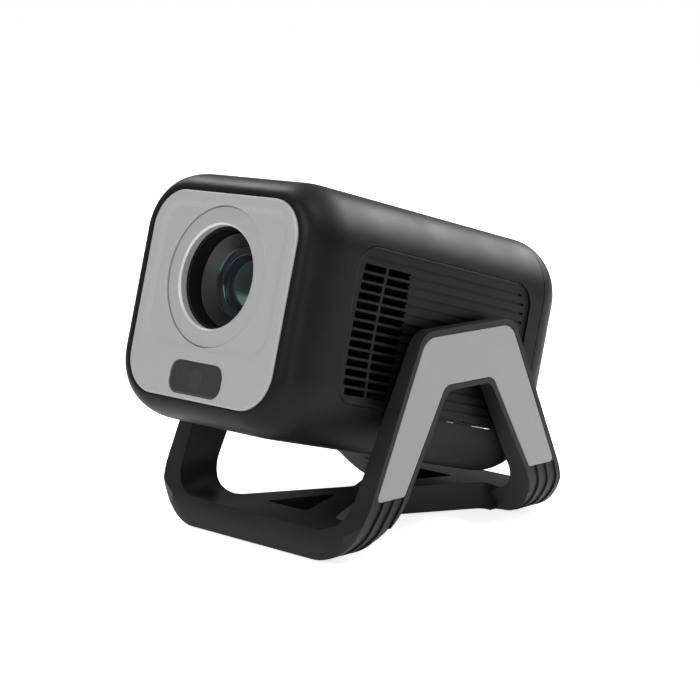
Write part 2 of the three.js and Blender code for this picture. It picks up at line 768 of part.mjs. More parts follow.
// ---------------------------------------------------------------- optical engine
function makeOpticalBox() {
  const outer = roundRect(0, lensRise, boxHalf, boxHalf, 3);
  const inner = roundRect(0, lensRise, boxHalf - boxWall, boxHalf - boxWall, 2);
  const tube = prism(outer, 'y', boxFront, boxRear, 2);
  return tube.subtract(prism(inner, 'y', boxFront - 1, boxRear + 1, 2));
}
add(housing, 'optical_box', makeOpticalBox(), finish('#232325', 0.6));
const sheets = [
  ['front_fresnel_lens', -64, 2, '#e8eef2'],
  ['lcd_panel', -56, 2.5, '#15181f'],
  ['rear_fresnel_lens', -48, 2, '#e8eef2'],
];
for (const [name, y, thick, color] of sheets) {
  const half = opticHalf - 0.5;
  const sheet = prism(roundRect(0, lensRise, half, half, 1.5), 'y', y, y + thick, 2);
  add(housing, name, sheet, finish(color, 0.15));
}

function makeLightCone() {
  const cone = (wide, narrow, y0, y1) => {
    const geometry = new THREE.CylinderGeometry(narrow * Math.SQRT2, wide * Math.SQRT2, y1 - y0, 4);
    geometry.rotateY(Math.PI / 4);
    geometry.translate(0, (y0 + y1) / 2, 0);
    return toSolid(geometry);
  };
  const front = -42;
  const rear = 4;
  const hollow = cone(opticHalf - 2.5, 12.2, front - 0.5, rear + 0.5);
  return lensAxis(cone(opticHalf - 1, 14, front, rear).subtract(hollow));
}
add(housing, 'reflector_cone', makeLightCone(), aluminium());
const ledFront = boxRear + 2;
const led = box(-ledHalf, ledHalf, ledFront, ledFront + ledThick, lensRise - ledHalf, lensRise + ledHalf);
add(housing, 'led_module', led, finish('#e9e3c6', 0.5));

// A slab across the whole heatsink or fan, centred on the optical axis.
const slab = (x0, x1, y0, y1, half) => box(x0, x1, y0, y1, lensRise - half, lensRise + half);

function makeHeatsink() {
  const baseRear = sinkFront + sinkBase;
  let sink = slab(-sinkHalf, sinkHalf, sinkFront, baseRear, sinkHalf);
  const pitch = (2 * sinkHalf - finThick) / (sinkFins - 1);
  for (let i = 0; i < sinkFins; i++) {
    const x = -sinkHalf + i * pitch;
    sink = sink.add(slab(x, x + finThick, baseRear - 1, sinkRear, sinkHalf));
  }
  return sink;
}
add(housing, 'heatsink', makeHeatsink(), aluminium());

function makeFanFrame() {
  const outline = roundRect(0, lensRise, fanHalf, fanHalf, 4);
  let frame = prism(outline, 'y', fanFront, fanFront + fanDepth, 3);
  frame = frame.subtract(lensAxis(disc(fanHalf - 2.2, 'y', fanFront - 1, fanFront + fanDepth + 1, 36)));
  const rear = fanFront + fanDepth;
  const reach = fanHalf - 1;
  const hub = lensAxis(disc(fanHub, 'y', rear - spokeThick, rear, 24));
  const arm = slab(-reach, reach, rear - spokeThick, rear, spokeHalf);
  const post = slab(-spokeHalf, spokeHalf, rear - spokeThick, rear, reach);
  return frame.add(hub).add(arm).add(post);
}
add(housing, 'fan_frame', makeFanFrame(), blackPlastic());

function makeRotor() {
  let rotor = disc(fanHub, 'y', fanFront + 1, fanFront + fanDepth - 2.6, 24);
  for (let i = 0; i < fanBlades; i++) {
    const blade = toSolid(new THREE.BoxGeometry(fanHalf - 5 - fanHub + 2, 1.4, 12)).rotate([35, 0, 0]);
    const y = fanFront + 1 + (fanDepth - 3.6) / 2;
    const placed = blade.translate([(fanHalf - 5 + fanHub) / 2, y, 0]).rotate([0, (360 / fanBlades) * i, 0]);
    rotor = rotor.add(placed);
  }
  return lensAxis(rotor);
}
add(housing, 'fan_rotor', makeRotor(), blackPlastic());

// ---------------------------------------------------------------- boards and speakers
const boardTop = boardRise + boardThick;
const mainBoard = box(-boardHalfWidth, boardHalfWidth, boardFront, boardRear, boardRise, boardTop);
add(housing, 'main_board', mainBoard, board());
const spreader = box(-spreaderHalf, spreaderHalf, -30, 6, boardTop + gap, boardTop + spreaderThick);
add(housing, 'processor_heat_spreader', spreader, aluminium());
const powerTop = powerRise + boardThick;
add(housing, 'power_board', box(-46, 46, -50, 50, powerRise, powerTop), board());
const transformer = box(-16, 16, -20, 14, powerTop + gap, powerTop + transformerHeight);
add(housing, 'power_transformer', transformer, finish('#d9c27a', 0.6));

const sensorFront = panelFace + windowThick + 2 * gap;
const sensor = box(-9, 9, sensorFront, sensorFront + 9.4, windowRise - 6, windowRise + 6);
add(housing, 'distance_sensor', sensor, board());

for (const [label, side] of sides) {
  const half = speakerHalf;
  const cabinet = box(
    speakerOuter - speakerDepth,
    speakerOuter,
    speakerSpot - speakerLength / 2,
    speakerSpot + speakerLength / 2,
    speakerRise - half,
    speakerRise + half,
  );
  const place = (solid) => solid.translate([0, speakerSpot, speakerRise]);
  const mouth = place(disc(coneRadius + runGap, 'x', speakerOuter - mouthDepth, speakerOuter + 1, 24));
  add(housing, `speaker_box_${label}`, mirrorX(cabinet.subtract(mouth), side), blackPlastic());
  const edge = speakerOuter - gap;
  const dish = speakerOuter - dishDepth;
  const back = speakerOuter - mouthDepth + 1;
  const lip = coneRadius - 0.9;
  const profile = [[0, dish], [4, dish], [lip, edge], [coneRadius, edge], [coneRadius, back], [0, back]];
  const cone = place(turned(profile, 'x', 24));
  add(housing, `speaker_cone_${label}`, mirrorX(cone, side), finish('#2b2b2b', 0.8));
}

// ---------------------------------------------------------------- ports and power button
const portFace = bodyRear - 1;

function makePort(middle, halfWidth, bottom, top, depth, shellThick) {
  const body = box(middle - halfWidth, middle + halfWidth, portFace - depth, portFace, bottom, top);
  const open = halfWidth - shellThick;
  const floor = portFace - portHollow;
  const hollow = box(middle - open, middle + open, floor, portFace + 1, bottom + 1, top - 1);
  return body.subtract(hollow);
}
add(housing, 'power_inlet', makePort(-26, 14, -44, -35, 17, 4), blackPlastic());
add(housing, 'video_port', makePort(0, 8, -43, -36, 13, 1), steel());
add(housing, 'usb_port', makePort(22, 8, -43, -36, 13, 1), steel());

const place = (solid) => solid.translate([buttonX, 0, buttonZ]);
add(housing, 'power_button', place(disc(buttonRadius, 'y', bodyRear - 6, bodyRear, 24)), greyPaint());
const switchBody = place(box(-4, 4, bodyRear - 14, bodyRear - 8, -4, 4));
add(housing, 'button_switch', switchBody, blackPlastic());

// ---------------------------------------------------------------- place on the table
root.updateMatrixWorld(true);
const extent = new THREE.Box3().setFromObject(root, true);
root.position.y = -(extent.min.y + extent.max.y) / 2;

export default root;
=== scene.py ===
"""Home projector on a tilting desk stand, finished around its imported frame.

The housing is a rounded black box with a grey front panel, a lens and two louvred grilles.
It tilts between the arms of a U-shaped stand. Lengths are in millimetres until a mesh is made.
"""

import json
import math

import bmesh
import bpy
from mathutils import Matrix, Vector


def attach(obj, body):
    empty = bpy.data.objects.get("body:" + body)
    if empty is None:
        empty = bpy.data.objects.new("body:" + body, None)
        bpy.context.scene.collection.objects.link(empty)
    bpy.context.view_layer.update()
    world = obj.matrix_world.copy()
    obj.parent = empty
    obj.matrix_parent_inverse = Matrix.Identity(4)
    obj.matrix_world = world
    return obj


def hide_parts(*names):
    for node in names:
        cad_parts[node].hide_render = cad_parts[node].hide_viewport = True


bl_info = {
    "name": "Home projector",
    "version": (1, 0, 0),
    "blender": (4, 5, 0),
    "location": "View3D > Sidebar > Projector",
    "description": "Builds a home projector on its tilting stand",
    "category": "Add Mesh",
}

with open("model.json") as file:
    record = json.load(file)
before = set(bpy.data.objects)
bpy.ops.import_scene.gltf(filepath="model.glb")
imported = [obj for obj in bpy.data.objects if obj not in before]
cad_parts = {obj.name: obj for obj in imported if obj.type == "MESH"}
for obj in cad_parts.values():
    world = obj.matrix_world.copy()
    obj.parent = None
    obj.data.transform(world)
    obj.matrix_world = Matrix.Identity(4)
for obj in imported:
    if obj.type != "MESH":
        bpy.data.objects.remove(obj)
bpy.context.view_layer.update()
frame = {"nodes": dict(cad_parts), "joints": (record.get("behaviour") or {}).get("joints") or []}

MM = 0.001
JOINTS = {joint["name"]: joint for joint in frame["joints"]}
PIVOT = Vector(JOINTS["tilt"]["pos_m"])
LENS_LINE = Vector(JOINTS["lens_focus"]["axis"])  # points to the rear of the housing
TILT = math.atan2(-LENS_LINE.z, LENS_LINE.y)
HOUSING = Matrix.Translation(PIVOT) @ Matrix.Rotation(-TILT, 4, "X") @ Matrix.Scale(MM, 4)
STAND = Matrix.Translation((0, PIVOT.y, 0)) @ Matrix.Scale(MM, 4)


class Extent:
    """How far a frame node reaches along x, y and z in the housing's or the stand's own directions."""

    def __init__(self, node, place):
        inverse = place.inverted()
        points = [inverse @ v.co for v in frame["nodes"][node].data.vertices]
        self.x0, self.y0, self.z0 = (min(p[i] for p in points) for i in range(3))
        self.x1, self.y1, self.z1 = (max(p[i] for p in points) for i in range(3))

    def middle(self):
        return (self.x0 + self.x1) / 2, (self.y0 + self.y1) / 2, (self.z0 + self.z1) / 2


SHELL = Extent("main_shell", HOUSING)
COVER = Extent("rear_cover", HOUSING)
PANEL = Extent("front_panel", HOUSING)
TRIM = Extent("lens_trim_ring", HOUSING)
PANE = Extent("sensor_window", HOUSING)
GRILLE = Extent("grille_right", HOUSING)
BARREL = Extent("lens_barrel", HOUSING)
BUTTON = Extent("power_button", HOUSING)
LENS_RISE = TRIM.middle()[2]


def linear(code):
    """An sRGB hex colour as the linear red, green and blue that a shader takes."""
    channels = [int(code[i:i + 2], 16) / 255 for i in (1, 3, 5)]
    return [c / 12.92 if c <= 0.04045 else ((c + 0.055) / 1.055) ** 2.4 for c in channels]


# ---------------------------------------------------------------- sizes and colours a user would change
def millimetres(name, description, default):
    return bpy.props.FloatProperty(name=name, description=description, default=default, min=0.0)


def count(name, description, default, least=1):
    return bpy.props.IntProperty(name=name, description=description, default=default, min=least)


def colour(name, description, code):
    return bpy.props.FloatVectorProperty(
        name=name, description=description, default=linear(code), subtype="COLOR", min=0.0, max=1.0
    )


class HousingSizes(bpy.types.PropertyGroup):
    """The housing's forms, in millimetres"""

    corner: millimetres("Corner", "Radius of the four long edges", 38.0)
    front_depth: millimetres("Front ease depth", "How far back the front edge's ease begins", 27.0)
    front_width: millimetres("Front ease width", "How far in the front edge's ease runs", 13.0)
    rear_depth: millimetres("Rear ease depth", "How far forward the rear edge's ease begins", 23.0)
    rear_width: millimetres("Rear ease width", "How far in the rear edge's ease runs", 22.0)
    wall: millimetres("Wall", "Thickness of the moulded wall", 2.6)
    panel_corner: millimetres("Panel corner", "Corner radius of the grey front panel", 24.0)
    panel_edge: millimetres("Panel edge", "Radius along the rim of the front panel", 1.6)
    recess_margin: millimetres("Recess margin", "Band left round the panel's recessed field", 6.4)
    recess_depth: millimetres("Recess depth", "Depth of the recessed field", 0.9)
    recess_height: millimetres("Recess height", "Height of the recessed field", 89.5)
    recess_corner: millimetres("Recess corner", "Corner radius of the recessed field", 17.0)
    recess_blend: millimetres("Recess blend", "Width of the soft wall round the recessed field", 6.0)


class GrilleSizes(bpy.types.PropertyGroup):
    """The side grilles' louvres, in millimetres"""

    corner: millimetres("Corner", "Corner radius of a grille", 15.0)
    thick: millimetres("Thickness", "Thickness of a grille's plate", 3.0)
    bead: millimetres("Bead", "Width of the raised bead round a grille", 1.6)
    pitch: millimetres("Pitch", "Distance from one louvre row to the next", 5.55)
    height: millimetres("Slot height", "Height of an open slot", 4.0)
    groove: millimetres("Groove height", "Height of a blind groove", 1.6)
    groove_depth: millimetres("Groove depth", "Depth of a blind groove", 1.2)
    rows: count("Rows", "Rows of open slots", 14)
    margin: millimetres("Margin", "From the bead to the first slot", 5.5)
    top_margin: millimetres("Top margin", "From the top of a grille to the first open row", 12.7)
    rib: millimetres("Rib place", "From the grille's front to the upright rib", 24.5)
    rib_width: millimetres("Rib width", "Width of the upright rib between two slots", 2.0)
    open_length: millimetres("Open length", "From the grille's front to the end of the slots", 47.3)
    blade_depth: millimetres("Blade depth", "Depth of the slanted blades behind the slots", 3.4)


class LensSizes(bpy.types.PropertyGroup):
    """The lens opening, in millimetres"""

    bore: millimetres("Bore", "Radius of the ring's bore", 30.8)
    chamfer: millimetres("Chamfer", "Width of the bright chamfer round the bore", 1.0)
    wall_depth: millimetres("Wall depth", "Depth of the ribbed wall inside the bore", 4.5)
    rib_count: count("Ribs", "Ribs round the bore's wall", 150, 3)
    groove: millimetres("Groove", "Width of the groove round the ring", 0.1)
    barrel_forward: millimetres("Barrel forward", "How far the rim stands before its plain form", 2.2)
    cone_inner: millimetres("Cone inner", "Inner radius of the barrel's conical face", 21.9)
    cone_depth: millimetres("Cone depth", "Depth of the barrel's conical face", 6.4)
    glass: millimetres("Glass", "Radius of the front glass", 16.5)
    dome: millimetres("Dome", "Rise of the front glass", 3.8)


class StandSizes(bpy.types.PropertyGroup):
    """The stand's forms, in millimetres"""

    arm: millimetres("Arm", "Thickness of an arm at its top", 8.5)
    arm_low: millimetres("Arm foot", "Thickness of an arm where it turns into the base", 14.0)
    plate: millimetres("Base", "Thickness of the base", 17.5)
    outer_bend: millimetres("Outer bend", "Outer radius between arm and base", 37.0)
    inner_bend: millimetres("Inner bend", "Inner radius between arm and base", 21.0)
    leg_depth: millimetres("Leg depth", "From the middle to a leg's outer edge at the bend", 83.3)
    leg_slope: millimetres("Leg slope", "How far a leg's edge leans per unit of height", 0.4526)
    window_slope: millimetres("Window slope", "How far the window's edge leans per unit of height", 0.565)
    rim: millimetres("Rim", "Dark rim round each inlay", 3.9)
    inlay_band: millimetres("Inlay band", "Depth of the inlay's crossbar", 30.0)
    inlay_leg: millimetres("Inlay leg", "Width of the inlay's leg at its lower end", 23.5)
    arm_round: millimetres("Arm corner", "Radius of an arm's upper corners", 13.0)
    knee: millimetres("Knee", "Radius where a leg's edge meets the base's face", 42.0)
    bend_ease: millimetres("Bend ease", "How far a bend's face falls back per unit of width", 0.2)
    waist: millimetres("Waist", "Half the base's narrowest width", 7.0)
    notch_slope: millimetres("Notch slope", "How far a side notch's edge leans", 0.54)
    notch_depth: millimetres("Notch depth", "From the middle to the end of a side notch", 68.0)
    pocket_half: millimetres("Pocket width", "Half the width of a pocket in the base", 18.0)
    pocket_far: millimetres("Pocket end", "From the middle to a pocket's wide end", 66.0)
    pocket_near: millimetres("Pocket tip", "From the middle to a pocket's tip", 22.0)
    pocket_depth: millimetres("Pocket depth", "Depth of a pocket in the base", 9.0)
    boss: millimetres("Boss", "Radius of the hinge boss on each arm", 13.0)


class Finishes(bpy.types.PropertyGroup):
    """The colours of the outer finishes"""

    housing: colour("Housing", "Black moulded plastic", "#0b0b0c")
    panel: colour("Panel", "Grey satin paint", "#989899")
    frame: colour("Stand", "Dark grey moulded plastic", "#1a1a1b")
    barrel: colour("Barrel", "Lens barrel", "#1d1d1f")
    pane: colour("Sensor window", "Smoked window", "#2c2c2d")
    rubber: colour("Feet", "Rubber feet", "#1c1c1c")
    floor: colour("Floor", "Studio floor", "#f4f4f4")


# ---------------------------------------------------------------- outlines and meshes
def rounded(mid_u, mid_v, half_u, half_v, radius, steps=16):
    """A rounded rectangle as points, anticlockwise."""
    radius = max(0.01, min(radius, half_u, half_v))
    points = []
    for quarter, (su, sv) in enumerate(((1, 1), (-1, 1), (-1, -1), (1, -1))):
        for i in range(steps + 1):
            angle = math.pi / 2 * (quarter + i / steps)
            u = mid_u + su * (half_u - radius) + radius * math.cos(angle)
            v = mid_v + sv * (half_v - radius) + radius * math.sin(angle)
            points.append((u, v))
    return points


def loft(loops, closed=False):
    """A closed mesh through loops of equally many points. Its ends are capped unless it closes."""
    bm = bmesh.new()
    rings = [[bm.verts.new(point) for point in loop] for loop in loops]
    pairs = list(zip(rings, rings[1:]))
    if closed:
        pairs.append((rings[-1], rings[0]))
    for a, b in pairs:
        for i in range(len(a)):
            j = (i + 1) % len(a)
            bm.faces.new((a[i], a[j], b[j], b[i]))
    if not closed:
        bm.faces.new(rings[0])
        bm.faces.new(rings[-1])
    bmesh.ops.remove_doubles(bm, verts=bm.verts, dist=0.001)
    bmesh.ops.recalc_face_normals(bm, faces=bm.faces)
    return bm


def along_y(outline, y):
    return [(u, y, v) for u, v in outline]


def along_x(outline, x):
    return [(x, u, v) for u, v in outline]


def along_z(outline, z):
    return [(u, v, z) for u, v in outline]


def prism(outline, along, low, high):
    return loft([along(outline, low), along(outline, high)])


def turned(profile, steps=96, ripple=()):
    """A closed profile of (radius, y) turned about the lens line. A rippled point steps in and out."""
    bm = bmesh.new()
    rings = []
    for k, (radius, y) in enumerate(profile):
        ring = []
        for i in range(steps):
            angle = 2 * math.pi * i / steps
            r = radius + (RIB_DEPTH if k in ripple and i % 4 > 1 else 0)
            ring.append(bm.verts.new((r * math.cos(angle), y, LENS_RISE + r * math.sin(angle))))
        rings.append(ring)
    for a, b in zip(rings, rings[1:] + rings[:1]):
        for i in range(steps):
            j = (i + 1) % steps
            bm.faces.new((a[i], a[j], b[j], b[i]))
    bmesh.ops.remove_doubles(bm, verts=bm.verts, dist=0.001)
    bmesh.ops.dissolve_degenerate(bm, edges=bm.edges, dist=0.001)
    bmesh.ops.recalc_face_normals(bm, faces=bm.faces)
    return bm


def merged(parts):
    """Several separate closed meshes as one."""
    whole = bmesh.new()
    for part in parts:
        mesh = bpy.data.meshes.new("part")
        part.to_mesh(mesh)
        part.free()
        whole.from_mesh(mesh)
        bpy.data.meshes.remove(mesh)
    return whole


def make(name, bm, place, body, material):
    """A new piece that rides on a body, from a mesh in millimetres."""
    bmesh.ops.transform(bm, matrix=place, verts=bm.verts)
    mesh = bpy.data.meshes.new(name)
    bm.to_mesh(mesh)
    bm.free()
    mesh.materials.append(material)
    piece = bpy.data.objects.new(name, mesh)
    bpy.context.scene.collection.objects.link(piece)
    if body:
        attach(piece, body)
    return piece


def settle(piece):
    """Keeps what the piece's modifiers made, and removes them."""
    bpy.context.view_layer.update()
    graph = bpy.context.evaluated_depsgraph_get()
    mesh = bpy.data.meshes.new_from_object(piece.evaluated_get(graph))
    piece.modifiers.clear()
    old = piece.data
    piece.data = mesh
    mesh.name = piece.name
    bpy.data.meshes.remove(old)


def combine(piece, bm, place, operation="DIFFERENCE"):
    """Cuts a mesh out of a piece, or joins it on."""
    tool = make("tool", bm, place, None, piece.data.materials[0])
    modifier = piece.modifiers.new(operation.lower(), "BOOLEAN")
    modifier.object = tool
    modifier.operation = operation
    modifier.solver = "MANIFOLD"
    settle(piece)
    mesh = tool.data
    bpy.data.objects.remove(tool)
    bpy.data.meshes.remove(mesh)
    if not piece.data.polygons:
        raise RuntimeError(f"{piece.name} has nothing left after a {operation.lower()}")


def soften(piece, width, segments=2, sharp=28):
    """Rounds a piece's edges by a width in millimetres and shades its curves smooth."""
    bm = bmesh.new()
    bm.from_mesh(piece.data)
    bmesh.ops.remove_doubles(bm, verts=bm.verts, dist=0.00001)
    bmesh.ops.dissolve_limit(bm, angle_limit=math.radians(0.4), verts=bm.verts, edges=bm.edges)
    bm.to_mesh(piece.data)
    bm.free()
    bevel = piece.modifiers.new("edges", "BEVEL")
    bevel.width = width * MM
    bevel.segments = segments
    bevel.limit_method = "ANGLE"
    bevel.angle_limit = math.radians(sharp)
    bevel.use_clamp_overlap = True
    bevel.harden_normals = False
    settle(piece)
    smooth(piece, sharp + 12)


def smooth(piece, sharp=40):
    piece.data.shade_smooth()
    piece.data.set_sharp_from_angle(angle=math.radians(sharp))
    weighted = piece.modifiers.new("normals", "WEIGHTED_NORMAL")
    weighted.keep_sharp = True
    weighted.weight = 60
    settle(piece)


def refine(node, body, material, width=0.3, segments=2, sharp=28):
    """A finer copy of a frame node, with its edges rounded, that stands for it."""
    name = node + "_finished"
    piece = bpy.data.objects.new(name, frame["nodes"][node].data.copy())
    piece.data.materials.clear()
    piece.data.materials.append(material)
    bpy.context.scene.collection.objects.link(piece)
    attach(piece, body)
    soften(piece, width, segments, sharp)
    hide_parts(node)
    return piece


RIB_DEPTH = 0.45  # how deep the ribbed wall's ribs are cut


# ---------------------------------------------------------------- materials
def add_node(owner, kind, settings, inputs):
    """Adds a node to a material or a world. Each input is a value or the socket that feeds it."""
    tree = owner.node_tree
    new = tree.nodes.new(kind)
    for name, value in settings.items():
        setattr(new, name, value)
    for key, value in inputs.items():
        if isinstance(value, bpy.types.NodeSocket):
            tree.links.new(value, new.inputs[key])
        else:
            new.inputs[key].default_value = value
    return new


def start(name):
    """An empty node material."""
    skin = bpy.data.materials.new(name)
    skin.use_nodes = True
    skin.node_tree.nodes.clear()
    return skin


def close(skin, colours, rough, normal=None, **others):
    """Ends a material with the Principled shader. The other inputs are written with _ for a space."""
    inputs = {"Base Color": colours, "Roughness": rough}
    inputs.update({key.replace("_", " "): value for key, value in others.items()})
    if normal is not None:
        inputs["Normal"] = normal
    shader = add_node(skin, "ShaderNodeBsdfPrincipled", {}, inputs)
    add_node(skin, "ShaderNodeOutputMaterial", {}, {"Surface": shader.outputs[0]})
    return skin


def position(skin):
    """Each point's place on its own piece."""
    return add_node(skin, "ShaderNodeTexCoord", {}, {}).outputs["Object"]


def grain(skin, size, detail=2.0, stretch=(1, 1, 1)):
    """A noise whose features are `size` millimetres across, fixed to the piece."""
    scaled = add_node(skin, "ShaderNodeMapping", {}, {"Vector": position(skin), "Scale": stretch})
    inputs = {"Vector": scaled.outputs[0], "Scale": 1 / (size * MM), "Detail": detail}
    return add_node(skin, "ShaderNodeTexNoise", {}, inputs).outputs["Fac"]


def spread(skin, source, low, high, start_at=0.35, end_at=0.65, ease="LINEAR"):
    """Maps a pattern to a range of numbers."""
    inputs = {"Value": source, "From Min": start_at, "From Max": end_at, "To Min": low, "To Max": high}
    return add_node(skin, "ShaderNodeMapRange", {"interpolation_type": ease}, inputs).outputs[0]


def tint(skin, source, dark, light):
    """Blends two colours by a pattern."""
    inputs = {"Factor": source, 6: (*dark, 1), 7: (*light, 1)}
    return add_node(skin, "ShaderNodeMix", {"data_type": "RGBA"}, inputs).outputs[2]


def shades(skin, source, rgb, low, high):
    """Blends a darker and a lighter shade of one colour by a pattern's contrast."""
    return tint(skin, spread(skin, source, 0, 1), scaled_colour(rgb, low), scaled_colour(rgb, high))


def relief(skin, source, depth, strength=1.0):
    """A bump of `depth` millimetres."""
    inputs = {"Height": source, "Distance": depth * MM, "Strength": strength}
    return add_node(skin, "ShaderNodeBump", {}, inputs).outputs[0]


def scaled_colour(rgb, factor):
    return [min(1.0, c * factor) for c in rgb]


def spark_textured_plastic(name, rgb, rough, spark=0.45, gloss=0.14):
    """ABS moulded in a spark-eroded tool: an even, fine sparkle that breaks highlights into soft bands.

    The grain is drawn at 0.45 mm, about twice the real one, so that it shows.
    """
    skin = start(name)
    cloud = grain(skin, 28, 3.0)
    colours = shades(skin, cloud, rgb, 0.88, 1.12)
    sparkle = relief(skin, grain(skin, spark, 1.0), 0.022, 0.55)
    gleam = spread(skin, cloud, rough - 0.03, rough + 0.04)
    return close(skin, colours, gleam, sparkle, IOR=1.53, Specular_IOR_Level=gloss)


def satin_sprayed_paint(name, rgb, rough=0.48):
    """Silver-grey paint sprayed on a moulding: a faint metal flake and a slight orange peel."""
    skin = start(name)
    flake = grain(skin, 0.35, 0.0)
    glints = spread(skin, flake, 0, 1, 0.3, 0.7)
    colours = tint(skin, glints, scaled_colour(rgb, 0.93), scaled_colour(rgb, 1.07))
    peel = relief(skin, grain(skin, 1.6, 1.0), 0.006, 0.35)
    return close(skin, colours, spread(skin, flake, rough - 0.05, rough + 0.07), peel, Metallic=0.12)


def radially_lined(name, rgb, rough=0.44, metal=0.15, lines=240, depth=0.02):
    """Satin paint or anodising over a moulding with fine lines fanned out from the lens line.

    The lines are about 1 mm apart at the ring's rim, so the light breaks into a soft fan.
    """
    skin = start(name)
    centre = HOUSING @ Vector((0, TRIM.y0, LENS_RISE))
    turn = (math.pi / 2 - TILT, 0, 0)
    inputs = {"Vector": position(skin), "Location": centre, "Rotation": turn}
    moved = add_node(skin, "ShaderNodeMapping", {"vector_type": "TEXTURE"}, inputs)
    around = add_node(
        skin, "ShaderNodeTexGradient", {"gradient_type": "RADIAL"}, {"Vector": moved.outputs[0]}
    )
    times = {0: around.outputs["Fac"], 1: 2 * math.pi * lines}
    angle = add_node(skin, "ShaderNodeMath", {"operation": "MULTIPLY"}, times)
    wave = add_node(skin, "ShaderNodeMath", {"operation": "SINE"}, {0: angle.outputs[0]})
    cloud = grain(skin, 0.5, 1.0)
    gleam = spread(skin, cloud, rough - 0.04, rough + 0.05)
    fan = relief(skin, wave.outputs[0], depth, 0.5)
    return close(skin, shades(skin, cloud, rgb, 0.95, 1.05), gleam, fan, Metallic=metal)


def drawn_steel(name, code="#b8b9ba", rough=0.3):
    """Bright steel, drawn and zinc plated: fine lines along the draw."""
    skin = start(name)
    lines = grain(skin, 0.5, 2.0, (1, 1, 12))
    colours = tint(skin, lines, scaled_colour(linear(code), 0.85), linear(code))
    gleam = spread(skin, lines, rough - 0.06, rough + 0.1)
    return close(skin, colours, gleam, relief(skin, lines, 0.004, 0.4), Metallic=1.0)


def extruded_aluminium(name, code="#c9cbcd"):
    """Raw extruded aluminium: long die lines and a dull grey bloom."""
    skin = start(name)
    lines = grain(skin, 0.7, 2.0, (1, 0.06, 1))
    colours = shades(skin, grain(skin, 12, 3.0), linear(code), 0.82, 1.0)
    gleam = spread(skin, lines, 0.28, 0.45)
    return close(skin, colours, gleam, relief(skin, lines, 0.01, 0.4), Metallic=1.0)


def coated_lens_glass(name, film=420.0):
    """Polished optical glass with a vacuum coating: clear, with violet and green glints."""
    skin = start(name)
    coating = {"Thin_Film_Thickness": film, "Thin_Film_IOR": 1.9}
    gleam = spread(skin, grain(skin, 6, 1.0), 0.012, 0.03)
    return close(skin, (0.86, 0.93, 0.97, 1), gleam, IOR=1.62, Transmission_Weight=1.0, **coating)


def coated_front_glass(name, film=250.0):
    """Polished glass, painted near black: on the dome glass this is painted shade for the dark throat behind
    it, on the retaining ring and its edges their own black. Its coating turns reflections green or violet.
    """
    skin = start(name)
    cloud = grain(skin, 14, 1.0)
    # near black with a faint random tone; on the dome glass, painted shade of the dark throat behind it
    colours = tint(skin, spread(skin, cloud, 0, 1), linear("#17191a"), linear("#212526"))
    coating = {"Thin_Film_Thickness": film, "Thin_Film_IOR": 1.62}
    return close(skin, colours, spread(skin, cloud, 0.03, 0.06), IOR=1.46, **coating)


def smoked_acrylic(name, rgb):
    """Moulded acrylic, smoked so that the sensor behind is only just seen as a faint paler disc."""
    skin = start(name)
    centre = HOUSING @ Vector((0, PANE.y0, PANE.middle()[2]))
    away = add_node(skin, "ShaderNodeVectorMath", {"operation": "DISTANCE"}, {0: position(skin), 1: centre})
    inside = spread(skin, away.outputs["Value"], 1, 0, 5.2 * MM, 5.8 * MM, "SMOOTHSTEP")
    colours = tint(skin, inside, rgb, scaled_colour(rgb, 1.25))
    gleam = spread(skin, grain(skin, 8, 1.0), 0.1, 0.16)
    return close(skin, colours, gleam, IOR=1.49, Coat_Weight=0.4, Coat_Roughness=0.05)


def moulded_rubber(name, rgb):
    """Moulded silicone rubber: matt, with a bloom of dust in its grain."""
    skin = start(name)
    fine = grain(skin, 0.6, 2.0)
    colours = tint(skin, fine, rgb, scaled_colour(rgb, 1.5))
    return close(skin, colours, spread(skin, fine, 0.78, 0.92), relief(skin, fine, 0.03, 0.4), IOR=1.42)


def natural_acetal(name):
    """Acetal, injection moulded for the gears: creamy white and waxy."""
    skin = start(name)
    cloud = grain(skin, 7, 2.0)
    colours = tint(skin, spread(skin, cloud, 0, 1), linear("#cfc9b8"), linear("#e2ddcd"))
    wax = {"Subsurface_Weight": 0.15, "Subsurface_Radius": (0.002, 0.0018, 0.0014)}
    return close(skin, colours, spread(skin, cloud, 0.38, 0.48), IOR=1.48, **wax)


def printed_board(name):
    """Glass-fibre circuit board under green solder mask: copper tracks show as paler lines."""
    skin = start(name)
    kind = {"distance": "MANHATTAN", "feature": "DISTANCE_TO_EDGE"}
    inputs = {"Vector": position(skin), "Scale": 1 / (5 * MM)}
    cells = add_node(skin, "ShaderNodeTexVoronoi", kind, inputs)
    track = spread(skin, cells.outputs["Distance"], 1, 0, 0.02, 0.06)
    colours = tint(skin, track, linear("#0f3d22"), linear("#2d6b3c"))
    gleam = spread(skin, grain(skin, 2, 1.0), 0.28, 0.4)
    return close(skin, colours, gleam, relief(skin, track, 0.035, 0.6), IOR=1.55)


def wound_tape(name):
    """Polyester tape wound round a transformer: glossy amber with its lapped edges showing."""
    skin = start(name)
    inputs = {"Vector": position(skin), "Scale": 1 / (20 * 1.2 * MM)}
    wave = add_node(skin, "ShaderNodeTexWave", {"bands_direction": "Z", "wave_profile": "SAW"}, inputs)
    laps = wave.outputs["Fac"]
    colours = tint(skin, laps, linear("#b98a2a"), linear("#dcb659"))
    return close(skin, colours, spread(skin, laps, 0.2, 0.34, 0, 1), relief(skin, laps, 0.05, 0.5))


def pressed_paper(name):
    """Pressed paper pulp, dyed black, for the speaker cones: fibrous and matt."""
    skin = start(name)
    fibre = grain(skin, 0.8, 6.0, (1, 4, 1))
    colours = tint(skin, fibre, linear("#1d1d1d"), linear("#3a3a39"))
    return close(skin, colours, spread(skin, fibre, 0.8, 0.95), relief(skin, fibre, 0.08, 0.6))


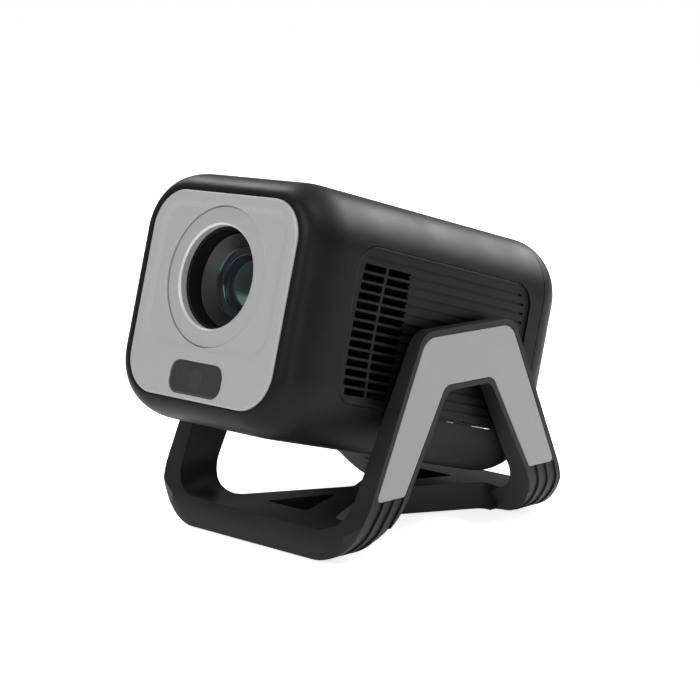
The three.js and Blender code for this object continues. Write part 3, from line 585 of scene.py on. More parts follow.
def display_glass(name):
    """The display panel: dark polarised glass with the violet cast of its film and a fine grid of cells."""
    skin = start(name)
    inputs = {"Vector": position(skin), "Scale": 1 / (1.0 * MM), "Mortar Size": 0.05}
    grid = add_node(skin, "ShaderNodeTexBrick", {"offset": 0.0}, inputs)
    colours = tint(skin, grid.outputs["Fac"], linear("#12151d"), linear("#05060a"))
    gleam = spread(skin, grain(skin, 9, 1.0), 0.08, 0.16)
    return close(skin, colours, gleam, IOR=1.52, Thin_Film_Thickness=300.0)


def phosphor_resin(name):
    """Yellow phosphor cast over the light module: translucent, with single lamps as a grid of dots."""
    skin = start(name)
    dots = grain(skin, 2.5, 0.0)
    colours = tint(skin, spread(skin, dots, 0, 1), linear("#e6cf6a"), linear("#f3ecc7"))
    depth = {"Subsurface_Weight": 0.2, "Subsurface_Radius": (0.003, 0.0025, 0.001)}
    return close(skin, colours, spread(skin, dots, 0.3, 0.5), **depth)


# ---------------------------------------------------------------- housing
def body_loop(sizes, inset, y):
    """The housing's outline, brought in by `inset`, at one place along it."""
    middle = (SHELL.z0 + SHELL.z1) / 2
    half_height = (SHELL.z1 - SHELL.z0) / 2
    outline = rounded(0, middle, SHELL.x1 - inset, half_height - inset, sizes.corner - inset, 22)
    return along_y(outline, y)


def panel_loop(sizes, inset, y):
    """The front panel's outline, brought in by `inset`."""
    _, _, middle = PANEL.middle()
    half_height = (PANEL.z1 - PANEL.z0) / 2
    outline = rounded(0, middle, PANEL.x1 - inset, half_height - inset, sizes.panel_corner - inset, 22)
    return along_y(outline, y)


def eased(steps):
    """Sine and cosine of the angles through a quarter turn."""
    return [(math.sin(math.pi / 2 * i / steps), math.cos(math.pi / 2 * i / steps)) for i in range(steps + 1)]


PANEL_GAP = 0.3  # dark line round the front panel
LIP_DEPTH = 5.0  # how deep the lip round the front panel goes
SEAM = 0.3  # dark line round each grille and window
CUT_OVER = 3.0  # how far a cutter stands past what it cuts


def shell_mesh(sizes):
    front = SHELL.y0
    wall = sizes.wall
    loops = []
    for sine, cosine in eased(12):
        place = front + sizes.front_depth * (1 - cosine)
        loops.append(body_loop(sizes, sizes.front_width * (1 - sine), place))
    loops.append(body_loop(sizes, 0, (front + sizes.front_depth + SHELL.y1) / 2))
    loops.append(body_loop(sizes, 0, SHELL.y1 - 0.3))
    loops.append(body_loop(sizes, 0.3, SHELL.y1))
    loops.append(body_loop(sizes, wall, SHELL.y1))
    loops.append(body_loop(sizes, wall, front + sizes.front_depth))
    loops.append(body_loop(sizes, wall + sizes.front_width * 0.3, front + LIP_DEPTH * 2))
    loops.append(panel_loop(sizes, -PANEL_GAP, front + LIP_DEPTH))
    loops.append(panel_loop(sizes, -PANEL_GAP, front + 0.25))
    loops.append(panel_loop(sizes, -PANEL_GAP - 0.25, front))
    return loft(loops, closed=True)


def grille_outline(inset, corner):
    _, middle_y, middle_z = GRILLE.middle()
    half_y = (GRILLE.y1 - GRILLE.y0) / 2 - inset
    half_z = (GRILLE.z1 - GRILLE.z0) / 2 - inset
    return rounded(middle_y, middle_z, half_y, half_z, corner - inset)


class BuildShell(bpy.types.Operator):
    """Builds the housing's shell, open at the front for the panel and at the sides for the grilles"""

    bl_idname = "projector.build_shell"
    bl_label = "Shell"

    def execute(self, context):
        sizes = context.scene.projector_housing
        black = spark_textured_plastic("spark_textured_abs", context.scene.projector_finishes.housing, 0.46)
        shell = make("shell", shell_mesh(sizes), HOUSING, "housing", black)
        across = SHELL.x1 + CUT_OVER
        outline = grille_outline(-SEAM, context.scene.projector_grille.corner)
        inner = SHELL.x1 - sizes.wall * 4
        for x0, x1 in ((-across, -inner), (inner, across)):
            combine(shell, prism(outline, along_x, x0, x1), HOUSING)
        smooth(shell, 50)
        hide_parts("main_shell")
        return {"FINISHED"}


VENT_ROWS = 11
VENT_PITCH = 6.0
VENT_HALF = 34.0
VENT_HALF_HEIGHT = 1.5
PORT_RECESS_HALF = 43.0
PORT_RECESS_BOTTOM = -46.0
PORT_RECESS_TOP = -33.0
REAR_CUT = 7.0  # how deep the cutters of the rear face go
REAR_SET_IN = 0.25  # keeps the smooth rear edge inside the faceted one
SCREWS = [f"rear_screw_{number}" for number in range(1, 5)]


def cover_mesh(sizes):
    """A cup: its inner floor and wall, then its rim, outer wall and rear face."""
    rear = COVER.y1 - REAR_SET_IN
    wall = sizes.wall
    inner = []
    for sine, cosine in eased(10):
        inset = wall + (sizes.rear_width - wall) * (1 - cosine)
        inner.append(body_loop(sizes, inset, rear - wall - (sizes.rear_depth - wall) * (1 - sine)))
    loops = inner[::-1]
    loops.append(body_loop(sizes, wall, COVER.y0))
    loops.append(body_loop(sizes, 0.3, COVER.y0))
    loops.append(body_loop(sizes, 0, COVER.y0 + 0.3))
    for sine, cosine in eased(14):
        inset = sizes.rear_width * (1 - cosine)
        loops.append(body_loop(sizes, inset, rear - sizes.rear_depth * (1 - sine)))
    return loft(loops)


def rear_cut(outline):
    return prism(outline, along_y, COVER.y1 - REAR_CUT, COVER.y1 + CUT_OVER)


def circle(mid_x, mid_z, radius, steps=9):
    return rounded(mid_x, mid_z, radius, radius, radius, steps)


class BuildRearCover(bpy.types.Operator):
    """Builds the rear cover with its vents, port recess, button hole and screw seats"""

    bl_idname = "projector.build_rear_cover"
    bl_label = "Rear cover"

    def execute(self, context):
        sizes = context.scene.projector_housing
        finishes = context.scene.projector_finishes
        black = spark_textured_plastic("spark_textured_abs_rear", finishes.housing, 0.46)
        cover = make("rear_shell", cover_mesh(sizes), HOUSING, "housing", black)
        cuts = []
        for row in range(VENT_ROWS):
            z = LENS_RISE + (row - (VENT_ROWS - 1) / 2) * VENT_PITCH
            cuts.append(rear_cut(rounded(0, z, VENT_HALF, VENT_HALF_HEIGHT, VENT_HALF_HEIGHT, 6)))
        middle = (PORT_RECESS_TOP + PORT_RECESS_BOTTOM) / 2
        half = (PORT_RECESS_TOP - PORT_RECESS_BOTTOM) / 2
        cuts.append(rear_cut(rounded(0, middle, PORT_RECESS_HALF, half, 3, 8)))
        button_x, _, button_z = BUTTON.middle()
        cuts.append(rear_cut(circle(button_x, button_z, BUTTON.x1 - button_x + SEAM)))
        for name in SCREWS:
            screw = Extent(name, HOUSING)
            x, _, z = screw.middle()
            cuts.append(rear_cut(circle(x, z, screw.x1 - x + SEAM)))
        combine(cover, merged(cuts), HOUSING)
        soften(cover, 0.4, 3, 40)
        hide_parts("rear_cover")
        return {"FINISHED"}


CROSS_HALF = 1.5  # half the length of a slot in a screw's head
CROSS_LINE = 0.32  # half its width
CROSS_DEPTH = 1.1
PIN_SPREAD = 4.3  # from the inlet's middle to a power pin
PIN_RADIUS = 1.2


class BuildRearFittings(bpy.types.Operator):
    """Builds the rear screws, the three ports and the power button"""

    bl_idname = "projector.build_rear_fittings"
    bl_label = "Rear fittings"

    def execute(self, context):
        steel = drawn_steel("zinc_plated_steel")
        for name in SCREWS:
            screw = Extent(name, HOUSING)
            x, _, z = screw.middle()
            piece = refine(name, "housing", steel, 0.35, 3)
            for half_x, half_z in ((CROSS_HALF, CROSS_LINE), (CROSS_LINE, CROSS_HALF)):
                outline = rounded(x, z, half_x, half_z, 0.1, 2)
                combine(piece, prism(outline, along_y, screw.y1 - CROSS_DEPTH, screw.y1 + 1), HOUSING)
        shell_steel = drawn_steel("nickel_plated_port_shell", "#c4c2ba", 0.24)
        for name in ("video_port", "usb_port"):
            port = Extent(name, HOUSING)
            x, _, z = port.middle()
            piece = refine(name, "housing", shell_steel, 0.25)
            tongue = rounded(x, z + 0.6, port.x1 - x - 2.5, 0.8, 0.2, 2)
            blade = prism(tongue, along_y, port.y1 - 10.5, port.y1 - 1.2)
            contact = make(name + "_tongue", blade, HOUSING, "housing", natural_acetal(name + "_insulator"))
            soften(contact, 0.15)
        black = spark_textured_plastic("moulded_nylon", linear("#161617"), 0.4)
        inlet = Extent("power_inlet", HOUSING)
        x, _, z = inlet.middle()
        piece = refine("power_inlet", "housing", black, 0.4, 3)
        for side in (-1, 1):
            pin = circle(x + side * PIN_SPREAD, z, PIN_RADIUS, 6)
            rod = prism(pin, along_y, inlet.y1 - 9.6, inlet.y1 - 1.5)
            contact = make(f"power_pin_{1 if side < 0 else 2}", rod, HOUSING, "housing", steel)
            soften(contact, 0.4, 3)
        grey = satin_sprayed_paint("satin_sprayed_button", context.scene.projector_finishes.panel)
        button = refine("power_button", "button", grey, 0.7, 4)
        return {"FINISHED"}


# ---------------------------------------------------------------- front
WINDOW_CORNER = 7.0
PANE_EDGE = 0.7  # radius along the rim of the sensor window
BACK_EDGE = 0.6  # chamfer along the back of the front panel


def panel_mesh(sizes):
    """From the back of the panel over its rounded rim to the soft-walled recessed field."""
    loops = [panel_loop(sizes, BACK_EDGE, PANEL.y1), panel_loop(sizes, 0, PANEL.y1 - BACK_EDGE)]
    edge = sizes.panel_edge
    for sine, cosine in eased(7):
        loops.append(panel_loop(sizes, edge * (1 - cosine), PANEL.y0 + edge * (1 - sine)))
    loops.append(panel_loop(sizes, edge + 1.2, PANEL.y0))
    half_x = PANEL.x1 - sizes.recess_margin
    top = PANEL.z1 - sizes.recess_margin + 1.3
    middle = top - sizes.recess_height / 2
    steps = 10
    for i in range(steps + 1):
        share = i / steps
        inset = sizes.recess_blend * share
        depth = sizes.recess_depth * share * share * (3 - 2 * share)
        half_z = sizes.recess_height / 2 - inset
        outline = rounded(0, middle, half_x - inset, half_z, sizes.recess_corner - inset, 22)
        loops.append(along_y(outline, PANEL.y0 + depth))
    return loft(loops)


class BuildPanel(bpy.types.Operator):
    """Builds the grey front panel and the smoked sensor window in it"""

    bl_idname = "projector.build_panel"
    bl_label = "Front panel"

    def execute(self, context):
        sizes = context.scene.projector_housing
        finishes = context.scene.projector_finishes
        grey = satin_sprayed_paint("satin_sprayed_front", finishes.panel)
        panel = make("panel", panel_mesh(sizes), HOUSING, "housing", grey)
        reach = (PANEL.y0 - CUT_OVER, PANEL.y1 + CUT_OVER)
        opening = circle(0, LENS_RISE, TRIM.x1 + context.scene.projector_lens.groove, 32)
        combine(panel, prism(opening, along_y, *reach), HOUSING)
        _, _, window_z = PANE.middle()
        half_z = (PANE.z1 - PANE.z0) / 2
        window = rounded(0, window_z, PANE.x1 + SEAM, half_z + SEAM, WINDOW_CORNER + SEAM)
        combine(panel, prism(window, along_y, *reach), HOUSING)
        soften(panel, 0.25, 2, 45)
        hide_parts("front_panel")
        loops = [along_y(rounded(0, window_z, PANE.x1, half_z, WINDOW_CORNER), PANE.y1)]
        for sine, cosine in eased(5):
            inset = PANE_EDGE * (1 - cosine)
            outline = rounded(0, window_z, PANE.x1 - inset, half_z - inset, WINDOW_CORNER - inset)
            loops.append(along_y(outline, PANE.y0 + PANE_EDGE * (1 - sine)))
        smoked = smoked_acrylic("smoked_acrylic", finishes.pane)
        pane = make("window_pane", loft(loops), HOUSING, "housing", smoked)
        smooth(pane, 35)
        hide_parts("sensor_window")
        return {"FINISHED"}


class BuildLens(bpy.types.Operator):
    """Builds the ring round the lens, the sliding barrel and its glass"""

    bl_idname = "projector.build_lens"
    bl_label = "Lens"

    def execute(self, context):
        sizes = context.scene.projector_lens
        finishes = context.scene.projector_finishes
        face = TRIM.y0
        bore = sizes.bore
        chamfer = sizes.chamfer
        outer = TRIM.x1
        back = face + sizes.wall_depth + 1
        profile = [
            (bore, back),
            (bore, face + chamfer + 0.5),
            (bore, face + chamfer + 0.4),
            (bore, face + chamfer),
            (bore + chamfer, face + 0.05),
            (bore + chamfer + 0.15, face),
            (bore + chamfer + 0.6, face),
            (outer - 1.6, face + 0.55),
            (outer - 0.7, face + 0.75),
            (outer - 0.2, face + 1.1),
            (outer, face + 1.7),
            (outer, back),
        ]
        faced = radially_lined("radially_lined_paint", finishes.panel)
        ring_mesh = turned(profile, sizes.rib_count * 4, ripple=(0, 1))
        ring = make("trim_ring", ring_mesh, HOUSING, "housing", faced)
        # The chamfer is polished and more metallic; its grey, lighter than the ring's paint, is a painted
        # highlight.
        bright = radially_lined("polished_chamfer_painted_highlight", linear("#bcbcbd"), 0.4, 0.3, 240, 0.0)
        # The bore's wall is part of the ring's own moulding; its lighter grey is a painted highlight.
        ribbed = satin_sprayed_paint("ribbed_bore_painted_highlight", linear("#b2b2b3"), 0.42)
        repaint(ring, bright, lambda r, y: r < bore + chamfer + 0.1 and y < face + chamfer)
        repaint(ring, ribbed, lambda r, y: r < bore + 1 and y > face + chamfer)
        smooth(ring, 30)
        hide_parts("lens_trim_ring")

        front = BARREL.y0 - sizes.barrel_forward
        wide = BARREL.x1
        cone = front + sizes.cone_depth
        lip = sizes.glass + 0.1
        lip_rear = cone + 1.8
        profile = [
            (wide, front + 0.9),
            (wide, BARREL.y1 - 0.5),
            (wide - 0.5, BARREL.y1),
            (sizes.cone_inner - 1.1, BARREL.y1),
            (sizes.cone_inner - 1.1, cone + 5),
            (lip, cone + 5),
            (lip, cone + 1.7),
            (lip, cone + 1.3),
            (lip + 0.35, cone + 1.05),
            (sizes.cone_inner - 0.6, cone + 0.6),
            (sizes.cone_inner, cone + 0.1),
            (sizes.cone_inner + 0.2, cone - 0.25),
            (wide - 1.3, front + 0.3),
            (wide - 0.9, front),
            (wide - 0.4, front + 0.2),
        ]
        dark = radially_lined("black_anodised_barrel", finishes.barrel, 0.34, 0.2, 360, 0.01)
        barrel = make("barrel", turned(profile, 160), HOUSING, "lens_barrel", dark)
        lip_black = coated_front_glass("blackened_retaining_ring", 0.0)
        repaint(barrel, lip_black, lambda r, y: r < sizes.cone_inner + 0.1 and y < lip_rear)
        edge = coated_front_glass("violet_coated_edge", 212.0)
        lip_edges = (lip + 0.3, sizes.cone_inner - 0.6)
        repaint(barrel, edge, lambda r, y: cone < y < lip_rear and not lip_edges[0] <= r <= lip_edges[1])
        smooth(barrel, 32)
        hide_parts("lens_barrel")

        dome_seat = Extent("lens_dome", HOUSING).y1
        rim = cone + 1.5
        profile = [(0, dome_seat), (sizes.glass, dome_seat)]
        steps = 14
        for i in range(steps + 1):
            r = sizes.glass * (1 - i / steps)
            profile.append((r, rim - sizes.dome * (1 - (r / sizes.glass) ** 2)))
        # the dome glass's near-black colour is painted shade of the dark throat behind it
        coated = coated_front_glass("dome_glass_painted_shade")
        dome = make("front_dome", turned(profile, 128), HOUSING, "lens_barrel", coated)
        smooth(dome, 35)
        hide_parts("lens_dome")
        glass = coated_lens_glass("coated_optical_glass")
        for name in ("front_lens", "rear_lens"):
            refine(name, "lens_barrel", glass, 0.5, 3)
        black = spark_textured_plastic("matt_black_hood", linear("#101011"), 0.55)
        refine("lens_hood", "housing", black, 0.25)
        return {"FINISHED"}


def repaint(piece, material, inside):
    """Gives a second material to the faces whose radius from the lens line and place along it pass a test."""
    piece.data.materials.append(material)
    index = len(piece.data.materials) - 1
    inverse = HOUSING.inverted()
    for face in piece.data.polygons:
        centre = inverse @ face.center
        if inside(math.hypot(centre.x, centre.z - LENS_RISE), centre.y):
            face.material_index = index


# ---------------------------------------------------------------- grilles
def slot_rows(sizes):
    """Yields each row's height and the ends of its slots and its groove. The topmost row is a groove only."""
    _, _, middle = GRILLE.middle()
    half = (GRILLE.z1 - GRILLE.z0) / 2
    for row in range(-1, sizes.rows):
        z = GRILLE.z1 - sizes.top_margin - row * sizes.pitch
        into_corner = max(0.0, abs(z - middle) + sizes.height / 2 - (half - sizes.corner))
        inset = sizes.corner - math.sqrt(max(0.0, sizes.corner ** 2 - into_corner ** 2)) + 3
        bow = ROW_BOW * (z - middle) ** 2
        first = GRILLE.y0 + max(sizes.margin, inset) + bow
        rib = GRILLE.y0 + sizes.rib + bow
        last = GRILLE.y0 + sizes.open_length - bow
        yield row, z, first, rib, last, GRILLE.y1 - inset - bow


ROW_BOW = 0.0012  # the slots' ends lie on shallow arcs
BLADE_HALF = 0.6  # half a blade's thickness
BLADE_BITE = 0.6  # how far a blade runs into the grille's plate
BLADE_SLOPE = 0.6  # how far it drops per unit of depth
BEAD_RISE = 0.9  # how far the plain grille's bead stands out
BEAD_SHOWN = 0.55  # how far the finished bead stands out


def grille_mesh(sizes, outer):
    inner = outer - sizes.thick
    loops = [along_x(grille_outline(0, sizes.corner), inner)]
    steps = 8
    for i in range(steps + 1):
        angle = math.pi * i / steps
        inset = sizes.bead / 2 * (1 - math.cos(angle))
        loops.append(along_x(grille_outline(inset, sizes.corner), outer + BEAD_SHOWN * math.sin(angle)))
    return loft(loops)


def blade_mesh(sizes, inner, z, start_at, end_at):
    """A blade behind the bar under a slot, slanting down into the housing."""
    front, rear = inner + BLADE_BITE, inner - sizes.blade_depth
    top = z - (sizes.height / 2 + (sizes.pitch - sizes.height) / 2)
    low = top - sizes.blade_depth * BLADE_SLOPE
    corners = [
        (front, top + BLADE_HALF),
        (rear, low + BLADE_HALF),
        (rear, low - BLADE_HALF),
        (front, top - BLADE_HALF),
    ]
    return prism(corners, along_y, start_at, end_at)


def mirrored(bm, side):
    """The same mesh, or its mirror image for the left side."""
    if side < 0:
        bmesh.ops.scale(bm, vec=(-1, 1, 1), verts=bm.verts)
        bmesh.ops.reverse_faces(bm, faces=bm.faces)
    return bm


class BuildGrilles(bpy.types.Operator):
    """Builds the two side grilles with open slots, blind grooves and the blades behind them"""

    bl_idname = "projector.build_grilles"
    bl_label = "Grilles"

    def execute(self, context):
        sizes = context.scene.projector_grille
        outer = GRILLE.x1 - BEAD_RISE
        inner = outer - sizes.thick
        black = spark_textured_plastic("spark_textured_grille", context.scene.projector_finishes.housing, 0.4)
        for label, side in (("right", 1), ("left", -1)):
            form = mirrored(grille_mesh(sizes, outer), side)
            plate = make(f"louvre_{label}", form, HOUSING, "housing", black)
            slots, grooves, blades = [], [], []
            for row, z, first, rib, last, end in slot_rows(sizes):
                begin = first if row < 0 else last - 0.5
                line = sizes.groove / 2
                outline = rounded((begin + end) / 2, z, (end - begin) / 2, line, line, 4)
                grooves.append(prism(outline, along_x, outer - sizes.groove_depth, outer + 2))
                if row < 0:
                    continue
                half_rib = sizes.rib_width / 2
                half = sizes.height / 2
                for y0, y1 in ((first, rib - half_rib), (rib + half_rib, last)):
                    outline = rounded((y0 + y1) / 2, z, (y1 - y0) / 2, half, half * 0.45, 4)
                    slots.append(prism(outline, along_x, inner - 1, outer + 2))
                if row < sizes.rows - 1:
                    blades.append(blade_mesh(sizes, inner, z, first + 1, last + 1))
            combine(plate, mirrored(merged(slots), side), HOUSING)
            combine(plate, mirrored(merged(grooves), side), HOUSING)
            combine(plate, mirrored(merged(blades), side), HOUSING, "UNION")
            hub = Extent("hinge_pin_right", HOUSING)
            _, hub_y, hub_z = hub.middle()
            boss = rounded(hub_y, hub_z, HUB_RADIUS, HUB_RADIUS, HUB_RADIUS, 12)
            combine(plate, mirrored(prism(boss, along_x, inner - 5, outer + 5), side), HOUSING)
            soften(plate, 0.22, 2, 40)
            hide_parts(f"grille_{label}")
        return {"FINISHED"}


HUB_RADIUS = 14.0  # hole round the stand's hinge boss


# ---------------------------------------------------------------- stand
def filleted(corners, steps=9):
    """A polygon of (u, v, radius) with its corners rounded by arcs."""
    points = []
    for i, (u, v, radius) in enumerate(corners):
        here = Vector((u, v))
        if not radius:
            points.append((u, v))
            continue
        back = (Vector(corners[i - 1][:2]) - here).normalized()
        ahead = (Vector(corners[(i + 1) % len(corners)][:2]) - here).normalized()
        half = back.angle(ahead) / 2
        centre = here + (back + ahead).normalized() * (radius / math.sin(half))
        first = here + back * (radius / math.tan(half)) - centre
        last = here + ahead * (radius / math.tan(half)) - centre
        sweep = first.angle(last)
        for k in range(steps + 1):
            share = k / steps
            blend = first * math.sin((1 - share) * sweep) + last * math.sin(share * sweep)
            points.append(tuple(centre + blend / math.sin(sweep)))
    return points


def arc(mid_u, mid_v, radius, start_at, end_at, steps=22):
    """Points along an arc. Its angles are in degrees."""
    angles = [math.radians(start_at + (end_at - start_at) * i / steps) for i in range(steps + 1)]
    return [(mid_u + radius * math.cos(a), mid_v + radius * math.sin(a)) for a in angles]


EASE_CURVE = 1.6  # how sharply a bend's face falls back
EASE_STEPS = 16
RIM_LESS = 0.4  # how much narrower the rim is beside the window
RIM_LEAN = 1.15  # widens it there along the leaning edge
HINGE_GAP = 0.6  # from the housing's side to a hinge boss
FOOT_SEAT = 2.0  # depth of the hollow that holds a foot


class StandForm:
    """The stand's heights and leaning edges, worked out from its sizes."""

    def __init__(self, sizes):
        box = Extent("stand_frame", STAND)
        self.sizes = sizes
        self.half_width = box.x1
        self.top = box.z1
        self.low = box.z0
        self.face = box.y1
        self.plate_top = self.low + sizes.plate
        self.bend_z = self.low + sizes.outer_bend
        self.bend_x = self.half_width - sizes.outer_bend
        self.inlay_top = self.top - sizes.rim
        self.inlay_inner_top = self.inlay_top - sizes.inlay_band
        self.window_top = self.inlay_inner_top - sizes.rim + RIM_LESS

    def leg_edge(self, z):
        return self.sizes.leg_depth - self.sizes.leg_slope * (z - self.bend_z)

    def inlay_edge(self, z):
        return self.leg_edge(z) - self.sizes.rim

    def inlay_inner(self, z):
        inner = self.inlay_edge(self.bend_z) - self.sizes.inlay_leg
        return inner - self.sizes.window_slope * (z - self.bend_z)

    def window_edge(self, z):
        return self.inlay_inner(z) - (self.sizes.rim - RIM_LESS) * RIM_LEAN

    def frame_outline(self):
        """The frame from the front: two arms, two bends and the base between them."""
        sizes = self.sizes
        inner_top = self.half_width - sizes.arm
        inner_low = self.half_width - sizes.arm_low
        bend = sizes.inner_bend
        low = self.plate_top + bend
        points = [(self.half_width, self.top), (inner_top, self.top), (inner_low, low)]
        points += arc(inner_low - bend, low, bend, 0, -90)[1:]
        points += arc(bend - inner_low, low, bend, -90, -180)
        points += [(-inner_top, self.top), (-self.half_width, self.top)]
        points += arc(-self.bend_x, self.bend_z, sizes.outer_bend, 180, 270)
        points += arc(self.bend_x, self.bend_z, sizes.outer_bend, 270, 360)
        return points

    def side_outline(self):
        face = self.face
        knee = self.bend_z - (face - self.sizes.leg_depth) / self.sizes.leg_slope
        edge = self.leg_edge(self.top)
        soft = self.sizes.knee
        return filleted(
            [
                (-face, self.low - 1, 0),
                (face, self.low - 1, 0),
                (face, knee, soft),
                (edge, self.top, self.sizes.arm_round),
                (-edge, self.top, self.sizes.arm_round),
                (-face, knee, soft),
            ]
        )

    def ease_at(self, x):
        """How far a bend's face has fallen back at one place across."""
        run = self.half_width + CUT_OVER - self.bend_x
        return self.sizes.bend_ease * run * max(0.0, (x - self.bend_x) / run) ** EASE_CURVE

    def face_at(self, x, z):
        """The front or rear face's distance from the middle."""
        return min(self.leg_edge(z), self.face - self.ease_at(x))

    def window_outline(self):
        low = self.low - 5
        edge_low, edge_top = self.window_edge(low), self.window_edge(self.window_top)
        top = self.window_top
        return filleted([(-edge_low, low, 0), (edge_low, low, 0), (edge_top, top, 8), (-edge_top, top, 8)])

    def inlay_outline(self, ease):
        z0, z1, z2 = self.bend_z, self.inlay_inner_top, self.inlay_top
        outer, inner = self.inlay_edge(z0) + ease, self.inlay_inner(z0) - ease
        crown, top = self.inlay_inner(z1), self.inlay_edge(z2) + ease
        half = [(inner, z0 - ease, 2.5), (outer, z0 - ease, 2.5), (top, z2 + ease, self.sizes.arm_round - 1)]
        other = [(-u, v, radius) for u, v, radius in reversed(half)]
        return filleted(half + other + [(-crown, z1 - ease, 8), (crown, z1 - ease, 8)])


def stand_cuts(form):
    """Yields each cutter of the stand: windows, notches, pockets, foot seats, inlay seats and grooves."""
    sizes = form.sizes
    across = form.half_width + CUT_OVER
    near = sizes.waist + sizes.notch_slope * sizes.notch_depth
    pocket_z = form.plate_top - sizes.pocket_depth
    for end in (-1, 1):
        half, far = sizes.pocket_half, end * sizes.pocket_far
        pocket = filleted([(-half, far, 2), (half, far, 2), (0, end * sizes.pocket_near, 2)])
        yield prism(pocket, along_z, pocket_z, form.plate_top + CUT_OVER)
    for side in (-1, 1):
        yield prism(form.window_outline(), along_x, side * (form.bend_x - 4), side * across)
        depth = sizes.notch_depth
        far = side * (form.bend_x + 6)
        wide = form.window_edge(form.plate_top)
        notch = [(side * sizes.waist, 0, 5), (side * near, -depth, 8), (far, -wide, 0), (far, wide, 0)]
        notch.append((side * near, depth, 8))
        yield prism(filleted(notch), along_z, form.low - CUT_OVER, form.plate_top + CUT_OVER)
        for end in (-1, 1):
            run = across - form.bend_x
            clear = end * (form.face + CUT_OVER)
            wedge = [(side * across, clear), (side * form.bend_x, clear)]
            for k in range(EASE_STEPS + 1):
                x = form.bend_x + run * k / EASE_STEPS
                wedge.append((side * x, end * (form.face - form.ease_at(x))))
            yield prism(wedge, along_z, form.low - CUT_OVER, form.bend_z + 60)
            foot = Extent(f"foot_{'front' if end < 0 else 'rear'}_{'right' if side > 0 else 'left'}", STAND)
            x, y, _ = foot.middle()
            seat = circle(x, y, foot.x1 - x + SEAM)
            yield prism(seat, along_z, form.low - CUT_OVER, form.low + FOOT_SEAT)
            yield from groove_cuts(form, side, end)
        seat = form.inlay_outline(SEAM)
        floor = Extent("inlay_right", STAND).x0 - SEAM
        yield prism(seat, along_x, side * floor, side * across)


GROOVES = 3
GROOVE_RIB = 1.8
GROOVE_DEPTH = 1.2
GROOVE_SWEEP = 76  # degrees of the bend that the grooves run round


def groove_cuts(form, side, end):
    """The grooves that run round a bend below an inlay leg, each a bent bar that leans with the leg."""
    radius = form.sizes.outer_bend
    width = (form.sizes.inlay_leg - (GROOVES - 1) * GROOVE_RIB) / GROOVES
    for i in range(GROOVES):
        loops = []
        steps = 24
        for k in range(steps + 1):
            angle = math.radians(GROOVE_SWEEP * k / steps)
            z = form.bend_z - radius * math.sin(angle)
            start_y = form.face_at(form.bend_x + radius * math.cos(angle), z) - form.sizes.rim
            start_y -= i * (width + GROOVE_RIB)
            spots = []
            for r in (radius - GROOVE_DEPTH, radius + CUT_OVER):
                spots.append((side * (form.bend_x + r * math.cos(angle)), form.bend_z - r * math.sin(angle)))
            (x0, z0), (x1, z1) = spots
            y0, y1 = end * start_y, end * (start_y - width)
            loops.append([(x0, y0, z0), (x1, y0, z1), (x1, y1, z1), (x0, y1, z0)])
        yield loft(loops)


class BuildStand(bpy.types.Operator):
    """Builds the stand: frame with softened edges, grey inlays, feet and hinge pins"""

    bl_idname = "projector.build_stand"
    bl_label = "Stand"

    def execute(self, context):
        finishes = context.scene.projector_finishes
        form = StandForm(context.scene.projector_stand)
        dark = spark_textured_plastic("satin_moulded_stand", finishes.frame, 0.42, 0.6, 0.2)
        u_shape = prism(form.frame_outline(), along_y, -form.face, form.face)
        stand = make("stand", u_shape, STAND, "stand", dark)
        reach = form.half_width + 1
        combine(stand, prism(form.side_outline(), along_x, -reach, reach), STAND, "INTERSECT")
        for cut in stand_cuts(form):
            combine(stand, cut, STAND)
        pin = Extent("hinge_pin_right", STAND)
        _, pin_y, pin_z = pin.middle()
        arm_face = form.half_width - form.sizes.arm
        for side in (-1, 1):
            boss = circle(pin_y, pin_z, form.sizes.boss, 14)
            inner = SHELL.x1 + HINGE_GAP
            combine(stand, prism(boss, along_x, side * inner, side * (arm_face + 3)), STAND, "UNION")
            bore = circle(pin_y, pin_z, pin.z1 - pin_z + SEAM, 10)
            combine(stand, prism(bore, along_x, side * (inner - 1), side * (pin.x1 + SEAM)), STAND)
        soften(stand, 0.6, 3, 26)
        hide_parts("stand_frame")
        # The inlays take the panel's grey darkened to 0.8: painted shade on their sideways-facing faces.
        grey = satin_sprayed_paint("satin_sprayed_inlay_painted_shade", scaled_colour(finishes.panel, 0.8), 0.5)
        rubber = moulded_rubber("moulded_rubber_foot", finishes.rubber)
        steel = drawn_steel("drawn_steel_pin")
        for side in ("right", "left"):
            box = Extent(f"inlay_{side}", STAND)
            outline = form.inlay_outline(0)
            inlay = make(f"inlay_plate_{side}", prism(outline, along_x, box.x0, box.x1), STAND, "stand", grey)
            soften(inlay, 0.4, 3, 26)
            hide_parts(f"inlay_{side}")
            refine(f"hinge_pin_{side}", "stand", steel, 0.5, 3)
            for end in ("front", "rear"):
                refine(f"foot_{end}_{side}", "stand", rubber, 0.6, 3)
        return {"FINISHED"}


